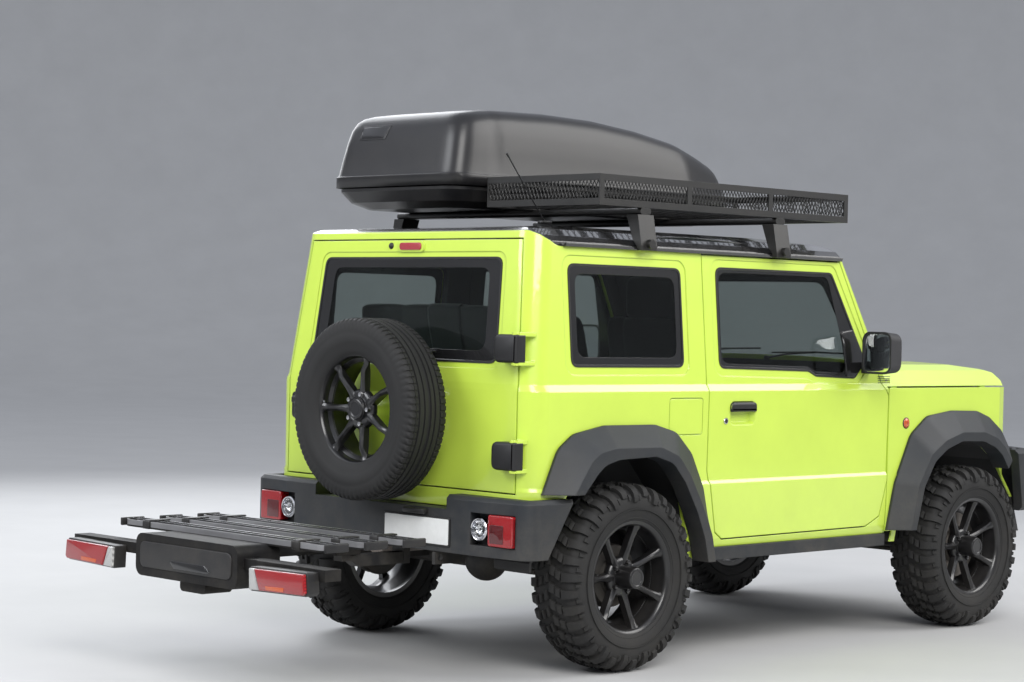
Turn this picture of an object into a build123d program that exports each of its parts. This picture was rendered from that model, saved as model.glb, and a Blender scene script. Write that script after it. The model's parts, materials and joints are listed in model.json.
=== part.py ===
"""Lifted off-road 4x4 with roof box, roof basket and towball carrier platform.

Millimetres. X forward, Y to the car's left, Z up from the ground. The car is drawn
from its rear axle; on writing, everything moves so that the origin lies under the
middle of its length.
"""
from build123d import *
from math import cos, radians, sin
import os

os.makedirs("parts", exist_ok=True)

# Main sizes, from the rear axle
WHEELBASE = 2250.0
TRACK = 1390.0
FRONT_END = WHEELBASE + 620
REAR_END = -1530.0
GAP = 5.0
SEAT = 0.3

# Wheels
TYRE_R = 358.0
BEAD_R = 203.0
RIM_FLANGE_R = 220.0
RIM_WIDTH = 196.0
RIM_WALL = 8.0
SPOKES = 7
SPOKE_HALF = 13.0
HUB_CAP_R = 46.0
HUB_CAP_REACH = 126.0
DISC_R = 145.0
DISC_DEPTH = 14.0
DRUM_R = 125.0
DRUM_DEPTH = 60.0
HUB_Z = TYRE_R
KINGPIN_Y = TRACK / 2 - 95
KNUCKLE_R = 60.0
EAR_Z = 70.0
STEER_ARM = 130.0
TIE_ROD_Z = 325.0
TIE_ROD_R = 10.0

# Body: z, half width and rear face of each level, from the sill up
BODY_LEVELS = (
    (440.0, 722.0, -496.0),
    (475.0, 731.0, -500.0),
    (692.0, 741.0, -500.0),
    (706.0, 733.0, -500.0),
    (1060.0, 737.5, -500.0),
    (1085.0, 722.0, -499.0),
    (1712.0, 666.0, -428.0),
)
INNER_LEVELS = (
    (500.0, 640.0, -440.0),
    (1045.0, 640.0, -440.0),
    (1110.0, 674.0, -440.0),
    (1712.0, 621.0, -375.0),
)
HALF_WIDTH = 737.5
CORNER_R = 88.0
FIREWALL_X = WHEELBASE - 550
FIREWALL_T = 40.0
SCREEN_FOOT = (FIREWALL_X, 1120.0)
SCREEN_HEAD = (FIREWALL_X - 260, 1600.0)
SCREEN_BOW = 50.0
SCREEN_FRAME_T = 34.0
ROOF_Z = 1700.0
ROOF_T = 34.0
ROOF_SPLIT_Z = 1600.0
DRIP_REAR_X = -300.0
FLOOR_Z = 530.0
CARGO_FLOOR_Z = 615.0
FLOOR_T = 28.0
FRAME_TUNNEL = 640.0
GLASS_T = 5.0
GLASS_INSET = 4.0

# Doors and lids
DOOR_INNER_Y = 640.0
DOOR_TOP_Y = 600.0
BELT_FOLD_Z = 1090.0
DOOR_FRONT_X = FIREWALL_X - 31
DOOR_HINGE_LEVELS = (760.0, 985.0)
TAILGATE_HINGE = (-530.0, -680.0)
TAILGATE_HINGE_Z = (1217.0, 823.0)
HINGE_HEIGHT = 90.0
SPARE_X = -663.0
SPARE_Y = -20.0
SPARE_Z = 970.0
SPARE_MOUNT = 18.0

# Bonnet and fenders
BONNET_REAR_X = FIREWALL_X + 6
BONNET_FRONT_X = WHEELBASE + 350
BONNET_SEAM_Z = 1071.0
BONNET_T = 22.0
FENDER_SKIN = 24.0
FENDER_SEAT_Y = 709.0
FENDER_FRONT_X = WHEELBASE + 347
FENDER_TOP_Z = 1066.0
NOSE_X = WHEELBASE + 405

# Chassis
RAIL_Y = 322.0
RAIL_WIDTH = 55.0
RAIL_DEPTH = 85.0
RAIL_REAR_X = -480.0
RAIL_FRONT_X = WHEELBASE + 390
EYE_R = 13.0
EYE_THICKNESS = 16.0
AXLE_TUBE_R = 38.0
DIFF_R = 88.0
NOSE_LENGTH = 125.0
PROP_Z = 390.0
TRANSFER_X = (FIREWALL_X - 490, FIREWALL_X - 300)
SPRING_R = 50.0
ENGINE_FOOT_Z = 632.5 + SEAT
LINER_T = 12.0
FRONT_LINER_Y = 352.0

# Roof gear
BAR_X = (130.0, 950.0)
BAR_Z = 1750.0
BAR_HALF = 700.0
BAR_SECTION = (60.0, 26.0)
RACK_Z = BAR_Z + BAR_SECTION[1] / 2 + SEAT
BASKET_X = (-130.0, 1400.0)
BASKET_Y = (-700.0, -90.0)
BASKET_Z = (RACK_Z, 1882.0)
BOX_Y = (-45.0, 725.0)
BOX_REAR_X = -262.0
BOX_LENGTH = 1900.0
BOX_RIM_Z = 1845.0
HINGE_R = 7.0
BOX_TOP_Z = 2180.0
BOX_WALL = 6.0
BOX_HINGE_Y = BOX_Y[0] - 8
BOX_HINGE_X = (60.0, 560.0, 1060.0)

# Carrier
CARRIER_LAMP_T = 64.0
BALL = (-760.0, 0.0, 462.0)
BALL_R = 25.0

MID_X = (FRONT_END + REAR_END) / 2


def side(y):
    """Plane of a side view at y: x forward, y up, its normal to the car's right."""
    return Plane(origin=(0, y, 0), x_dir=(1, 0, 0), z_dir=(0, -1, 0))


def across(x):
    """Plane of a cross-section at x: x to the left, y up, its normal forward."""
    return Plane(origin=(x, 0, 0), x_dir=(0, 1, 0), z_dir=(1, 0, 0))


def level(z):
    """Plane of a plan view at z: x forward, y to the left."""
    return Plane.XY.offset(z)


def outline(points):
    """Closed face through the points, in the sketch that is open."""
    Polygon(*points, align=None)


# Windscreen: a plane up its slope, bowed across the car
SLOPE = (SCREEN_HEAD[0] - SCREEN_FOOT[0], SCREEN_HEAD[1] - SCREEN_FOOT[1])
SCREEN_PLANE = Plane(
    origin=(SCREEN_FOOT[0], 0, SCREEN_FOOT[1]),
    x_dir=(0, 1, 0),
    z_dir=(SLOPE[0], 0, SLOPE[1]),
)


def screen_block(near, far, start=-200.0, end=900.0):
    """Solid between two bowed surfaces, near and far behind the screen's outside."""
    half = HALF_WIDTH + 60
    with BuildPart() as block:
        with BuildSketch(SCREEN_PLANE.offset(start)):
            with BuildLine():
                ThreePointArc((-half, far + SCREEN_BOW), (0, far), (half, far + SCREEN_BOW))
                Line((half, far + SCREEN_BOW), (half, near + SCREEN_BOW))
                ThreePointArc((half, near + SCREEN_BOW), (0, near), (-half, near + SCREEN_BOW))
                Line((-half, near + SCREEN_BOW), (-half, far + SCREEN_BOW))
            make_face()
        extrude(amount=end - start)
    return block.part


def stacked(levels):
    """Loft through plan sections that are rounded at the car's rear corners."""
    with BuildPart() as stack:
        for z, half, rear in levels:
            with BuildSketch(level(z)) as plan:
                outline(((rear, -half), (FIREWALL_X + 100, -half), (FIREWALL_X + 100, half), (rear, half)))
                fillet(plan.vertices().group_by(Axis.X)[0], radius=CORNER_R)
        loft(ruled=True)
    return stack.part


# Hull of the cabin: body levels, trimmed by the side view and the roof's crown
ROOF_REAR = (-405.0, 1668.0)
ROOF_FRONT = (SCREEN_HEAD[0] - 110, 1664.0)
ROOF_EDGE = ((690.0, 1600.0), (655.0, 1640.0), (600.0, 1666.0), (470.0, 1686.0))

with BuildPart() as outer_hull:
    add(stacked(BODY_LEVELS))
    with BuildSketch(side(HALF_WIDTH + 60)):
        with BuildLine():
            ThreePointArc(ROOF_REAR, (500, ROOF_Z + 4), ROOF_FRONT)
            Polyline(ROOF_FRONT, (SCREEN_HEAD[0] + 100, 1610), (FIREWALL_X, 1290), (FIREWALL_X, 1100))
            Polyline((FIREWALL_X, 1100), (FIREWALL_X, 400), (-600, 400), (-600, 1560), ROOF_REAR)
        make_face()
    extrude(amount=2 * (HALF_WIDTH + 60), mode=Mode.INTERSECT)
    with BuildSketch(across(-600)):
        with BuildLine():
            for hand in (1, -1):
                Polyline(
                    (hand * 800, 400),
                    (hand * 800, ROOF_EDGE[0][1]),
                    *((hand * y, z) for y, z in ROOF_EDGE),
                )
            ThreePointArc((470, 1686), (0, ROOF_Z), (-470, 1686))
            Line((-800, 400), (800, 400))
        make_face()
    extrude(amount=2600, mode=Mode.INTERSECT)
    add(screen_block(-500, 0, start=-12), mode=Mode.SUBTRACT)

with BuildPart() as inner_hull:
    add(stacked(INNER_LEVELS))
    with BuildSketch(side(HALF_WIDTH)):
        outline((
            (-600, CARGO_FLOOR_Z + FLOOR_T),
            (430, CARGO_FLOOR_Z + FLOOR_T),
            (470, FLOOR_Z + FLOOR_T),
            (FIREWALL_X - 200, FLOOR_Z + FLOOR_T),
            (FIREWALL_X - FIREWALL_T, 690),
            (FIREWALL_X - FIREWALL_T, 1085),
            (FIREWALL_X + 60, 1100),
            (FIREWALL_X - 200, 1560),
            (ROOF_FRONT[0] - 10, ROOF_FRONT[1] - ROOF_T),
            (500, ROOF_Z - ROOF_T),
            (-370, 1632),
            (-600, 1500),
        ))
    extrude(amount=2 * HALF_WIDTH, mode=Mode.INTERSECT)
    add(screen_block(-500, SCREEN_FRAME_T), mode=Mode.SUBTRACT)

# Openings, x and z of their corners
REAR_ARCH = (
    (-470, 300), (-470, 430), (-312, 672), (-215, 800), (-120, 826), (95, 834), (205, 806), (330, 668), (430, 300),
)
FRONT_ARCH = tuple((WHEELBASE + x, z) for x, z in (
    (-515, 300), (-435, 650), (-360, 745), (-265, 808), (-135, 838), (40, 836), (150, 800), (250, 735),
    (400, 560), (460, 300),
))
DOOR = (
    (490, 1595), (490, 745), (505, 690), (549, 500), (591, 472), (DOOR_FRONT_X - 135, 478),
    (DOOR_FRONT_X - 42, 517), (DOOR_FRONT_X, 671), (DOOR_FRONT_X, 1032), (DOOR_FRONT_X - 27, 1068),
    (DOOR_FRONT_X - 56, 1128), (DOOR_FRONT_X - 289, 1595),
)
DOOR_WINDOW = (
    (575, 1152), (DOOR_FRONT_X - 529, 1140), (DOOR_FRONT_X - 479, 1119), (DOOR_FRONT_X - 219, 1110),
    (DOOR_FRONT_X - 141, 1178), (DOOR_FRONT_X - 346, 1547), (575, 1547),
)
WINDOW_ROUND = 32.0
RECESS_WIDTH = 34.0
RECESS_DEPTH = 3.5
QUARTER_WINDOW = ((-272, 1155), (355, 1155), (355, 1535), (-272, 1535))
TAILGATE = ((655, 685), (655, 1085), (602, 1622))
TAILGATE_WINDOW = ((528, 1162), (505, 1553))
SCREEN_WINDOW = ((640, 26), (560, 505))


def prism(points, y0, y1, grow=0.0, radius=0.0):
    """Side-view outline extruded from y0 to y1, grown by a gap, its corners rounded."""
    with BuildPart() as block:
        with BuildSketch(side(max(y0, y1))) as view:
            outline(points)
            if grow:
                offset(amount=grow, kind=Kind.INTERSECTION)
            if radius:
                fillet(view.vertices(), radius=radius)
        extrude(amount=abs(y1 - y0))
    return block.part


def door_block(hand, gap=0.0):
    """Room of a door in the walls: its inner side steps in above the belt."""
    inner = DOOR_INNER_Y - gap
    with BuildPart() as block:
        add(prism(DOOR, hand * DOOR_TOP_Y, hand * 800, gap))
        with Locations((0, hand * inner, BELT_FOLD_Z)):
            low_side = Align.MAX if hand > 0 else Align.MIN
            Box(6000, 200, 900, align=(Align.CENTER, low_side, Align.MAX), mode=Mode.SUBTRACT)
    return block.part


def tailgate_prism(points, x0, x1, grow=0.0, radius=0.0):
    """Rear-view outline given by its right half, extruded from x0 to x1."""
    with BuildPart() as block:
        with BuildSketch(across(x0)) as view:
            outline([(y, z) for y, z in points] + [(-y, z) for y, z in reversed(points)])
            if grow:
                offset(amount=grow, kind=Kind.INTERSECTION)
            if radius:
                fillet(view.vertices(), radius=radius)
        extrude(amount=x1 - x0)
    return block.part


def liner(points, y0, y1, bottom=400.0):
    """Wheelhouse: an arch's outline as an open shell with a wall on its inner side."""
    high = [(x, max(z, bottom)) for x, z in points]
    inner_wall = y0 + LINER_T if y1 > y0 else y0 - LINER_T
    with BuildPart() as shell:
        with BuildSketch(side(max(y0, y1))):
            outline(high)
            offset(amount=LINER_T, kind=Kind.INTERSECTION)
        extrude(amount=abs(y1 - y0))
        add(prism(points, inner_wall, y1 * 1.2), mode=Mode.SUBTRACT)
        with Locations((0, 0, bottom)):
            Box(9000, 2000, 900, align=(Align.CENTER, Align.CENTER, Align.MIN), mode=Mode.INTERSECT)
    return shell.part


with BuildPart() as walls:
    add(outer_hull.part)
    add(inner_hull.part, mode=Mode.SUBTRACT)
    with BuildSketch(side(FRAME_TUNNEL)):
        outline((
            (-600, 300), (-600, CARGO_FLOOR_Z), (415, CARGO_FLOOR_Z), (460, FLOOR_Z),
            (FIREWALL_X + 200, FLOOR_Z), (FIREWALL_X + 200, 300),
        ))
    extrude(amount=2 * FRAME_TUNNEL, mode=Mode.SUBTRACT)

# Roof: everything above the drip rails
with BuildPart() as roof_cut:
    with BuildSketch(side(HALF_WIDTH + 60)) as view:
        front = FIREWALL_X + 100
        outline(((-700, 1660), (-430, 1660), (-330, ROOF_SPLIT_Z), (front, ROOF_SPLIT_Z), (front, 1900), (-700, 1900)))
        fillet(view.vertices().filter_by(lambda v: -500 < v.X < 0), radius=90)
    extrude(amount=2 * (HALF_WIDTH + 60))

with BuildPart() as roof_panel:
    add(walls.part)
    add(roof_cut.part, mode=Mode.INTERSECT)
    for hand in (1, -1):
        with BuildSketch(across(DRIP_REAR_X)):
            outline([(hand * y, z) for y, z in (
                (660, ROOF_SPLIT_Z), (692, ROOF_SPLIT_Z), (698, ROOF_SPLIT_Z + 14),
                (688, ROOF_SPLIT_Z + 14), (684, ROOF_SPLIT_Z + 6), (660, ROOF_SPLIT_Z + 6))])
        extrude(amount=SCREEN_HEAD[0] - 60 - DRIP_REAR_X)


def layer(section, x0, x1):
    """Strip of constant cross-section, given as y and z, from x0 to x1."""
    with BuildPart() as strip:
        with BuildSketch(across(x0)):
            outline(section)
        extrude(amount=x1 - x0)
    return strip.part


def body_half(z):
    """Half width of the body's upper side at a level."""
    (z0, y0, _), (z1, y1, _) = BODY_LEVELS[5:7]
    return y0 + (y1 - y0) * (z - z0) / (z1 - z0)


def body_rear(z):
    """Rear face of the body's upper part at a level."""
    (z0, _, x0), (z1, _, x1) = BODY_LEVELS[5:7]
    return x0 + (x1 - x0) * (z - z0) / (z1 - z0)


def side_recess(points, hand):
    """Pressed step round a side window, measured in from the body's surface."""
    low, high = 1090, 1594
    section = [(hand * (body_half(z) + reach), z) for z, reach in (
        (low, -RECESS_DEPTH), (high, -RECESS_DEPTH), (high, 20), (low, 20))]
    with BuildPart() as step:
        add(layer(section, -400, FIREWALL_X))
        grown = prism(points, hand * 560, hand * 800, RECESS_WIDTH, WINDOW_ROUND + RECESS_WIDTH / 2)
        add(grown, mode=Mode.INTERSECT)
    return step.part


def screen_prism():
    """Outline of the windscreen, square to its slope, half width and height along it."""
    plane = Plane(
        origin=(SCREEN_FOOT[0], 0, SCREEN_FOOT[1]),
        x_dir=(0, 1, 0),
        z_dir=(-SLOPE[1], 0, SLOPE[0]),
    )
    with BuildPart() as block:
        with BuildSketch(plane.offset(-20)):
            outline([(y, -h) for y, h in SCREEN_WINDOW] + [(-y, -h) for y, h in reversed(SCREEN_WINDOW)])
        extrude(amount=20 + SCREEN_BOW + 60)
    return block.part


FUEL_FLAP = ((275, 888), (452, 888), (452, 1033), (253, 1033), (253, 912))


def fuel_flap_groove():
    """Groove round the fuel flap, in the car's right side."""
    with BuildPart() as groove:
        add(prism(FUEL_FLAP, -730, -760, 0, 14))
        add(prism(FUEL_FLAP, -700, -790, -3, 11), mode=Mode.SUBTRACT)
    return groove.part


with BuildPart() as body_shell:
    add(walls.part)
    add(roof_cut.part, mode=Mode.SUBTRACT)
    for hand in (1, -1):
        add(door_block(hand, GAP), mode=Mode.SUBTRACT)
        add(prism(QUARTER_WINDOW, hand * 560, hand * 800, radius=WINDOW_ROUND), mode=Mode.SUBTRACT)
        add(side_recess(QUARTER_WINDOW, hand), mode=Mode.SUBTRACT)
        add(prism(REAR_ARCH, hand * 545, hand * 800), mode=Mode.SUBTRACT)
        add(liner(REAR_ARCH, hand * 540, hand * 722))
        rebate = ((DOOR_FRONT_X + 1, 400), (FIREWALL_X + 2, 400), (FIREWALL_X + 2, 1072), (DOOR_FRONT_X + 1, 1072))
        add(prism(rebate, hand * FENDER_SEAT_Y, hand * 800), mode=Mode.SUBTRACT)
    add(tailgate_prism(TAILGATE, -700, -380, GAP), mode=Mode.SUBTRACT)
    add(screen_prism(), mode=Mode.SUBTRACT)
    add(fuel_flap_groove(), mode=Mode.SUBTRACT)
    for z in TAILGATE_HINGE_Z:
        for up in (1, -1):
            with Locations((TAILGATE_HINGE[0] - 6, TAILGATE_HINGE[1], z + up * (HINGE_HEIGHT / 2 + SEAT + 8))):
                Box(88, 38, 16, align=(Align.MIN, Align.CENTER, Align.CENTER))
            with Locations((*TAILGATE_HINGE, z + up * (HINGE_HEIGHT / 2 + SEAT + 8))):
                Cylinder(19, 16)


def side_glass(points, hand):
    """Flat pane that fills a side window's opening, just inside the body's surface."""
    section = [
        (hand * (body_half(z) - inset), z)
        for z, inset in ((1090, GLASS_INSET), (1590, GLASS_INSET),
                         (1590, GLASS_INSET + GLASS_T), (1090, GLASS_INSET + GLASS_T))
    ]
    with BuildPart() as pane:
        add(layer(section, -400, FIREWALL_X))
        add(prism(points, hand * 560, hand * 800, radius=WINDOW_ROUND), mode=Mode.INTERSECT)
    return pane.part


# Door handle: a bowl pressed into the skin, with a pull across its upper half
HANDLE_BOWL = (697.0, 970.0, 158.0, 98.0)
HANDLE_DEPTH = 26.0
HANDLE_PULL = (697.0, 994.0, 158.0, 36.0)


def handle_bowl(hand):
    """Bowl behind the door's pull."""
    x, z, length, height = HANDLE_BOWL
    with BuildPart() as bowl:
        with BuildSketch(Plane(origin=(x, hand * (HALF_WIDTH + 2), z), x_dir=(1, 0, 0), z_dir=(0, -hand, 0))):
            RectangleRounded(length, height, 24)
        extrude(amount=HANDLE_DEPTH, taper=28)
    return bowl.part


def handle_pull(hand):
    """Bar of the door's handle, let into the skin at both ends."""
    x, z, length, height = HANDLE_PULL
    with BuildPart() as pull:
        with BuildSketch(Plane(origin=(x, hand * (HALF_WIDTH + 6), z), x_dir=(1, 0, 0), z_dir=(0, -hand, 0))):
            RectangleRounded(length, height, 15)
        extrude(amount=16)
    return pull.part


# Doors: the walls inside the door's outline
MIRROR_X = DOOR_FRONT_X - 229
doors = {}
door_windows = {}
mirrors = {}
for hand, name in ((1, "left"), (-1, "right")):
    with BuildPart() as door:
        add(walls.part)
        add(door_block(hand), mode=Mode.INTERSECT)
        add(prism(DOOR_WINDOW, hand * 560, hand * 800, radius=WINDOW_ROUND), mode=Mode.SUBTRACT)
        add(side_recess(DOOR_WINDOW, hand), mode=Mode.SUBTRACT)
        add(handle_bowl(hand), mode=Mode.SUBTRACT)
        add(handle_pull(hand))
        for z in DOOR_HINGE_LEVELS:
            with Locations((DOOR_FRONT_X + GAP - SEAT, hand * 696, z)):
                Box(24, 20, 45, align=(Align.MAX, Align.CENTER, Align.CENTER))
    doors[name] = door
    with BuildPart() as window:
        add(side_glass(DOOR_WINDOW, hand))
    door_windows[name] = window
    with BuildPart() as mirror:
        with BuildSketch(Plane(origin=(MIRROR_X, hand * 838, 1218), x_dir=(0, 1, 0), z_dir=(1, 0, 0))):
            RectangleRounded(150, 178, 38)
        with BuildSketch(Plane(origin=(MIRROR_X + 80, hand * 838, 1218), x_dir=(0, 1, 0), z_dir=(1, 0, 0))):
            RectangleRounded(138, 166, 36)
        with BuildSketch(Plane(origin=(MIRROR_X + 122, hand * 836, 1216), x_dir=(0, 1, 0), z_dir=(1, 0, 0))):
            RectangleRounded(84, 110, 30)
        loft(ruled=True)
        with BuildSketch(Plane(origin=(MIRROR_X, hand * 838, 1218), x_dir=(0, 1, 0), z_dir=(1, 0, 0))):
            RectangleRounded(134, 162, 32)
        extrude(amount=8, mode=Mode.SUBTRACT)
        foot = [(body_half(z) + SEAT, z) for z in (1128, 1176)]
        add(layer([(hand * y, z) for y, z in (foot[0], (780, 1128), (780, 1176), foot[1])], MIRROR_X + 58, MIRROR_X + 116))
    mirrors[name] = mirror

with BuildPart() as quarter_windows:
    for hand in (1, -1):
        add(side_glass(QUARTER_WINDOW, hand))

STOP_LAMP_Z = 1598.0


def rear_recess():
    """Pressed step round the rear window."""
    with BuildPart() as step:
        with BuildSketch(side(600)):
            outline([(body_rear(z) + reach, z) for z, reach in (
                (1100, -20), (1610, -20), (1610, RECESS_DEPTH), (1100, RECESS_DEPTH))])
        extrude(amount=1200)
        grown = tailgate_prism(TAILGATE_WINDOW, -700, -380, RECESS_WIDTH * 0.7, WINDOW_ROUND + 12)
        add(grown, mode=Mode.INTERSECT)
    return step.part


with BuildPart() as tailgate:
    add(walls.part)
    add(tailgate_prism(TAILGATE, -700, -380), mode=Mode.INTERSECT)
    add(tailgate_prism(TAILGATE_WINDOW, -700, -380, radius=WINDOW_ROUND), mode=Mode.SUBTRACT)
    add(rear_recess(), mode=Mode.SUBTRACT)
    with BuildSketch(across(body_rear(STOP_LAMP_Z) - 8)):
        with Locations((0, STOP_LAMP_Z)):
            RectangleRounded(150, 44, 18)
    extrude(amount=30)
    with Locations((SPARE_X - SPARE_MOUNT + SEAT, SPARE_Y, SPARE_Z)):
        Cylinder(68, -490 - SPARE_X + SPARE_MOUNT, rotation=(0, 90, 0), align=(Align.CENTER, Align.CENTER, Align.MIN))
    for z in TAILGATE_HINGE_Z:
        with Locations((*TAILGATE_HINGE, z)):
            Cylinder(14, HINGE_HEIGHT)
        with Locations((TAILGATE_HINGE[0] + 6, -635, z)):
            Box(24, 110, HINGE_HEIGHT)
        with Locations((-495, -603, z)):
            Box(50, 66, HINGE_HEIGHT)

with BuildPart() as tailgate_window:
    with BuildSketch(side(600)):
        outline([
            (body_rear(z) + inset, z)
            for z, inset in ((1100, GLASS_INSET), (1600, GLASS_INSET),
                             (1600, GLASS_INSET + GLASS_T), (1100, GLASS_INSET + GLASS_T))
        ])
    extrude(amount=1200)
    add(tailgate_prism(TAILGATE_WINDOW, -700, -380, radius=WINDOW_ROUND), mode=Mode.INTERSECT)


with BuildPart() as windscreen:
    add(screen_block(GLASS_INSET, GLASS_INSET + 6))
    add(screen_prism(), mode=Mode.INTERSECT)


def wheel_plane(x, hand, z=HUB_Z):
    """Plane at a wheel's centre: x forward, y outboard."""
    return Plane(origin=(x, hand * TRACK / 2, z), x_dir=(1, 0, 0), z_dir=(0, 0, hand))


TYRE_SECTION = (
    (BEAD_R + SEAT, 90), (RIM_FLANGE_R + 4, 90), (254, 112), (292, 116.5), (TYRE_R - 14, 80),
)
LUGS = 20
LUG_SHARE = 0.56
TREAD_FOOT_R = 300.0
# Blocks of one shoulder: y, radius of the blocks and of the grooves between them
TREAD_ROWS = ((8, TYRE_R, TYRE_R - 13), (90, TYRE_R, TYRE_R - 13), (117.5, 326, 310))


def tyre_on(plane, section, radius=TYRE_R):
    """Tyre about the plane's y, its section given from the bead to the tread."""
    with BuildPart() as tyre:
        with BuildSketch(plane):
            outline(list(section) + [(r, -w) for r, w in reversed(section)])
        revolve(axis=Axis(plane.origin, plane.y_dir))
    return tyre


def tread_outline(top, groove, start):
    """Toothed section of the tread in the open sketch: a flat block, then a flat groove."""
    half = 180 / LUGS * LUG_SHARE
    points = []
    for index in range(LUGS):
        for angle, radius in ((-half, groove), (-half, top), (half, top), (half, groove)):
            turn = radians(start + 360 / LUGS * index + angle)
            points.append((radius * cos(turn), radius * sin(turn)))
    outline(points)


def mud_tyre():
    """Tyre about Y with blocks on both shoulders, those of one side half a pitch on."""
    tyre = tyre_on(Plane.XY, TYRE_SECTION)
    for hand, shift in ((1, 0), (-1, 180 / LUGS)):
        with BuildPart() as blocks:
            for y, top, groove in TREAD_ROWS:
                with BuildSketch(Plane(origin=(0, hand * y, 0), x_dir=(1, 0, 0), z_dir=(0, -1, 0))):
                    tread_outline(top, groove, 90 - 180 / LUGS * LUG_SHARE + shift)
            loft(ruled=True)
            Cylinder(TREAD_FOOT_R, 2 * TYRE_R, rotation=(90, 0, 0), mode=Mode.SUBTRACT)
        with tyre:
            add(blocks.part)
    return tyre.part


def rim_on(plane, brake_r, brake_depth, outer=RIM_WIDTH / 2, reach=HUB_CAP_REACH):
    """Rim, spokes, hub and brake disc about the plane's y, which points outboard."""
    with BuildPart() as rim:
        with BuildSketch(plane):
            outline((
                (BEAD_R - RIM_WALL, -outer), (RIM_FLANGE_R, -outer), (RIM_FLANGE_R, -outer + 7),
                (BEAD_R, -outer + 7), (BEAD_R, outer - 7), (RIM_FLANGE_R, outer - 7),
                (RIM_FLANGE_R, outer), (BEAD_R - RIM_WALL, outer),
            ))
            outline((
                (0, 18), (70, 18), (78, 26), (78, 44), (66, 56), (HUB_CAP_R + 8, 62),
                (HUB_CAP_R, 64), (HUB_CAP_R - 2, reach - 5), (HUB_CAP_R - 12, reach), (0, reach),
            ))
            if brake_r:
                outline(((0, -brake_depth), (brake_r, -brake_depth), (brake_r, 6), (82, 6), (82, 19), (0, 19)))
        revolve(axis=Axis(plane.origin, plane.y_dir))
        for index in range(SPOKES):
            spoke_plane = Plane(plane.location * Location((0, 0, 0), (0, 360 / SPOKES * index, 0)))
            for half, rise in ((SPOKE_HALF, 0), (SPOKE_HALF / 3, 7)):
                with BuildSketch(spoke_plane.offset(-half)):
                    outline((
                        (60, 24), (198, outer - 44), (198, outer - 15 + rise), (165, outer - 19 + rise),
                        (110, outer - 40 + rise), (60, 48 + rise),
                    ))
                extrude(amount=2 * half)
    return rim


def knuckle_on(hand):
    """Steering knuckle: hub carrier with its king pins, spindle, steering arm and caliper."""
    plane = wheel_plane(WHEELBASE, hand)
    inner = KINGPIN_Y - 5 - TRACK / 2
    with BuildPart() as knuckle:
        with BuildSketch(plane):
            outline((
                (0, inner), (KNUCKLE_R - 10, inner), (KNUCKLE_R, inner + 14), (KNUCKLE_R, -20 - DISC_DEPTH + 6),
                (22, -20 - DISC_DEPTH + 6), (22, -DISC_DEPTH - SEAT), (0, -DISC_DEPTH - SEAT),
            ))
        revolve(axis=Axis(plane.origin, plane.y_dir))
        with Locations((WHEELBASE, hand * KINGPIN_Y, HUB_Z)):
            Cylinder(12, 2 * (EAR_Z - SEAT))
        with Locations((WHEELBASE - STEER_ARM / 2 - 12, hand * (KINGPIN_Y + 4), TIE_ROD_Z + 20)):
            Box(STEER_ARM, 30, 14)
        with Locations((WHEELBASE - STEER_ARM, hand * KINGPIN_Y, TIE_ROD_Z + TIE_ROD_R + SEAT)):
            Cylinder(8, 14, align=(Align.CENTER, Align.CENTER, Align.MIN))
        with Locations((WHEELBASE + 96, hand * (TRACK / 2 - 4 - 30), HUB_Z + 40)):
            Box(56, 40, 110)
        with Locations((WHEELBASE + 62, hand * (TRACK / 2 - 56), HUB_Z + 20)):
            Box(80, 28, 50)
    return knuckle


BRAKES = {"front": (DISC_R, DISC_DEPTH), "rear": (DRUM_R, DRUM_DEPTH)}
tyres = {}
rims = {}
tyre_form = mud_tyre()
for x, end in ((0.0, "rear"), (WHEELBASE, "front")):
    rim_form = rim_on(Plane.XY, *BRAKES[end]).part
    for hand, name in ((1, "left"), (-1, "right")):
        place = wheel_plane(x, hand).location
        with BuildPart() as tyre:
            add(tyre_form.moved(place))
        with BuildPart() as rim:
            add(rim_form.moved(place))
        tyres[end, name] = tyre
        rims[end, name] = rim
knuckles = {name: knuckle_on(hand) for hand, name in ((1, "left"), (-1, "right"))}

# Spare wheel, its outboard side against the tailgate's carrier
SPARE_R = 346.5
SPARE_SECTION = (
    (BEAD_R + SEAT, 70), (RIM_FLANGE_R + 4, 70), (250, 90), (285, 97), (318, 93), (338, 80), (SPARE_R, 64),
)
SPARE = Plane(origin=(SPARE_X, SPARE_Y, SPARE_Z), x_dir=(0, 1, 0), z_dir=(0, 0, 1))
spare_tyre = tyre_on(SPARE, SPARE_SECTION)
spare_rim = rim_on(SPARE, 0, 0, 78, 70)

# Bonnet: a clamshell with sloping sides, hinged at the screen
BONNET_TOP = (
    (BONNET_REAR_X, 1192), (BONNET_REAR_X + 187, 1186), (WHEELBASE - 15, 1168), (WHEELBASE + 228, 1146),
    (WHEELBASE + 310, 1130), (BONNET_FRONT_X, 1096),
)


def bonnet_block(drop):
    """Bonnet's outer form, lowered and narrowed by drop."""
    side_y = 700 - drop
    with BuildPart() as block:
        with BuildSketch(side(800)):
            outline(
                [(x, z - drop) for x, z in BONNET_TOP]
                + [(BONNET_FRONT_X - drop, BONNET_SEAM_Z - drop), (BONNET_REAR_X - (1 if drop else 0), BONNET_SEAM_Z - drop)]
            )
        extrude(amount=1600)
        with BuildSketch(across(FIREWALL_X - 100)):
            with BuildLine():
                Polyline(
                    (-560, 1176 - drop), (-622, 1164 - drop), (-660, 1140 - drop),
                    (-side_y, BONNET_SEAM_Z - drop), (side_y, BONNET_SEAM_Z - drop),
                    (660, 1140 - drop), (622, 1164 - drop), (560, 1176 - drop),
                )
                ThreePointArc((560, 1176 - drop), (0, 1194 - drop), (-560, 1176 - drop))
            make_face()
        extrude(amount=1200, mode=Mode.INTERSECT)
    return block.part


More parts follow.
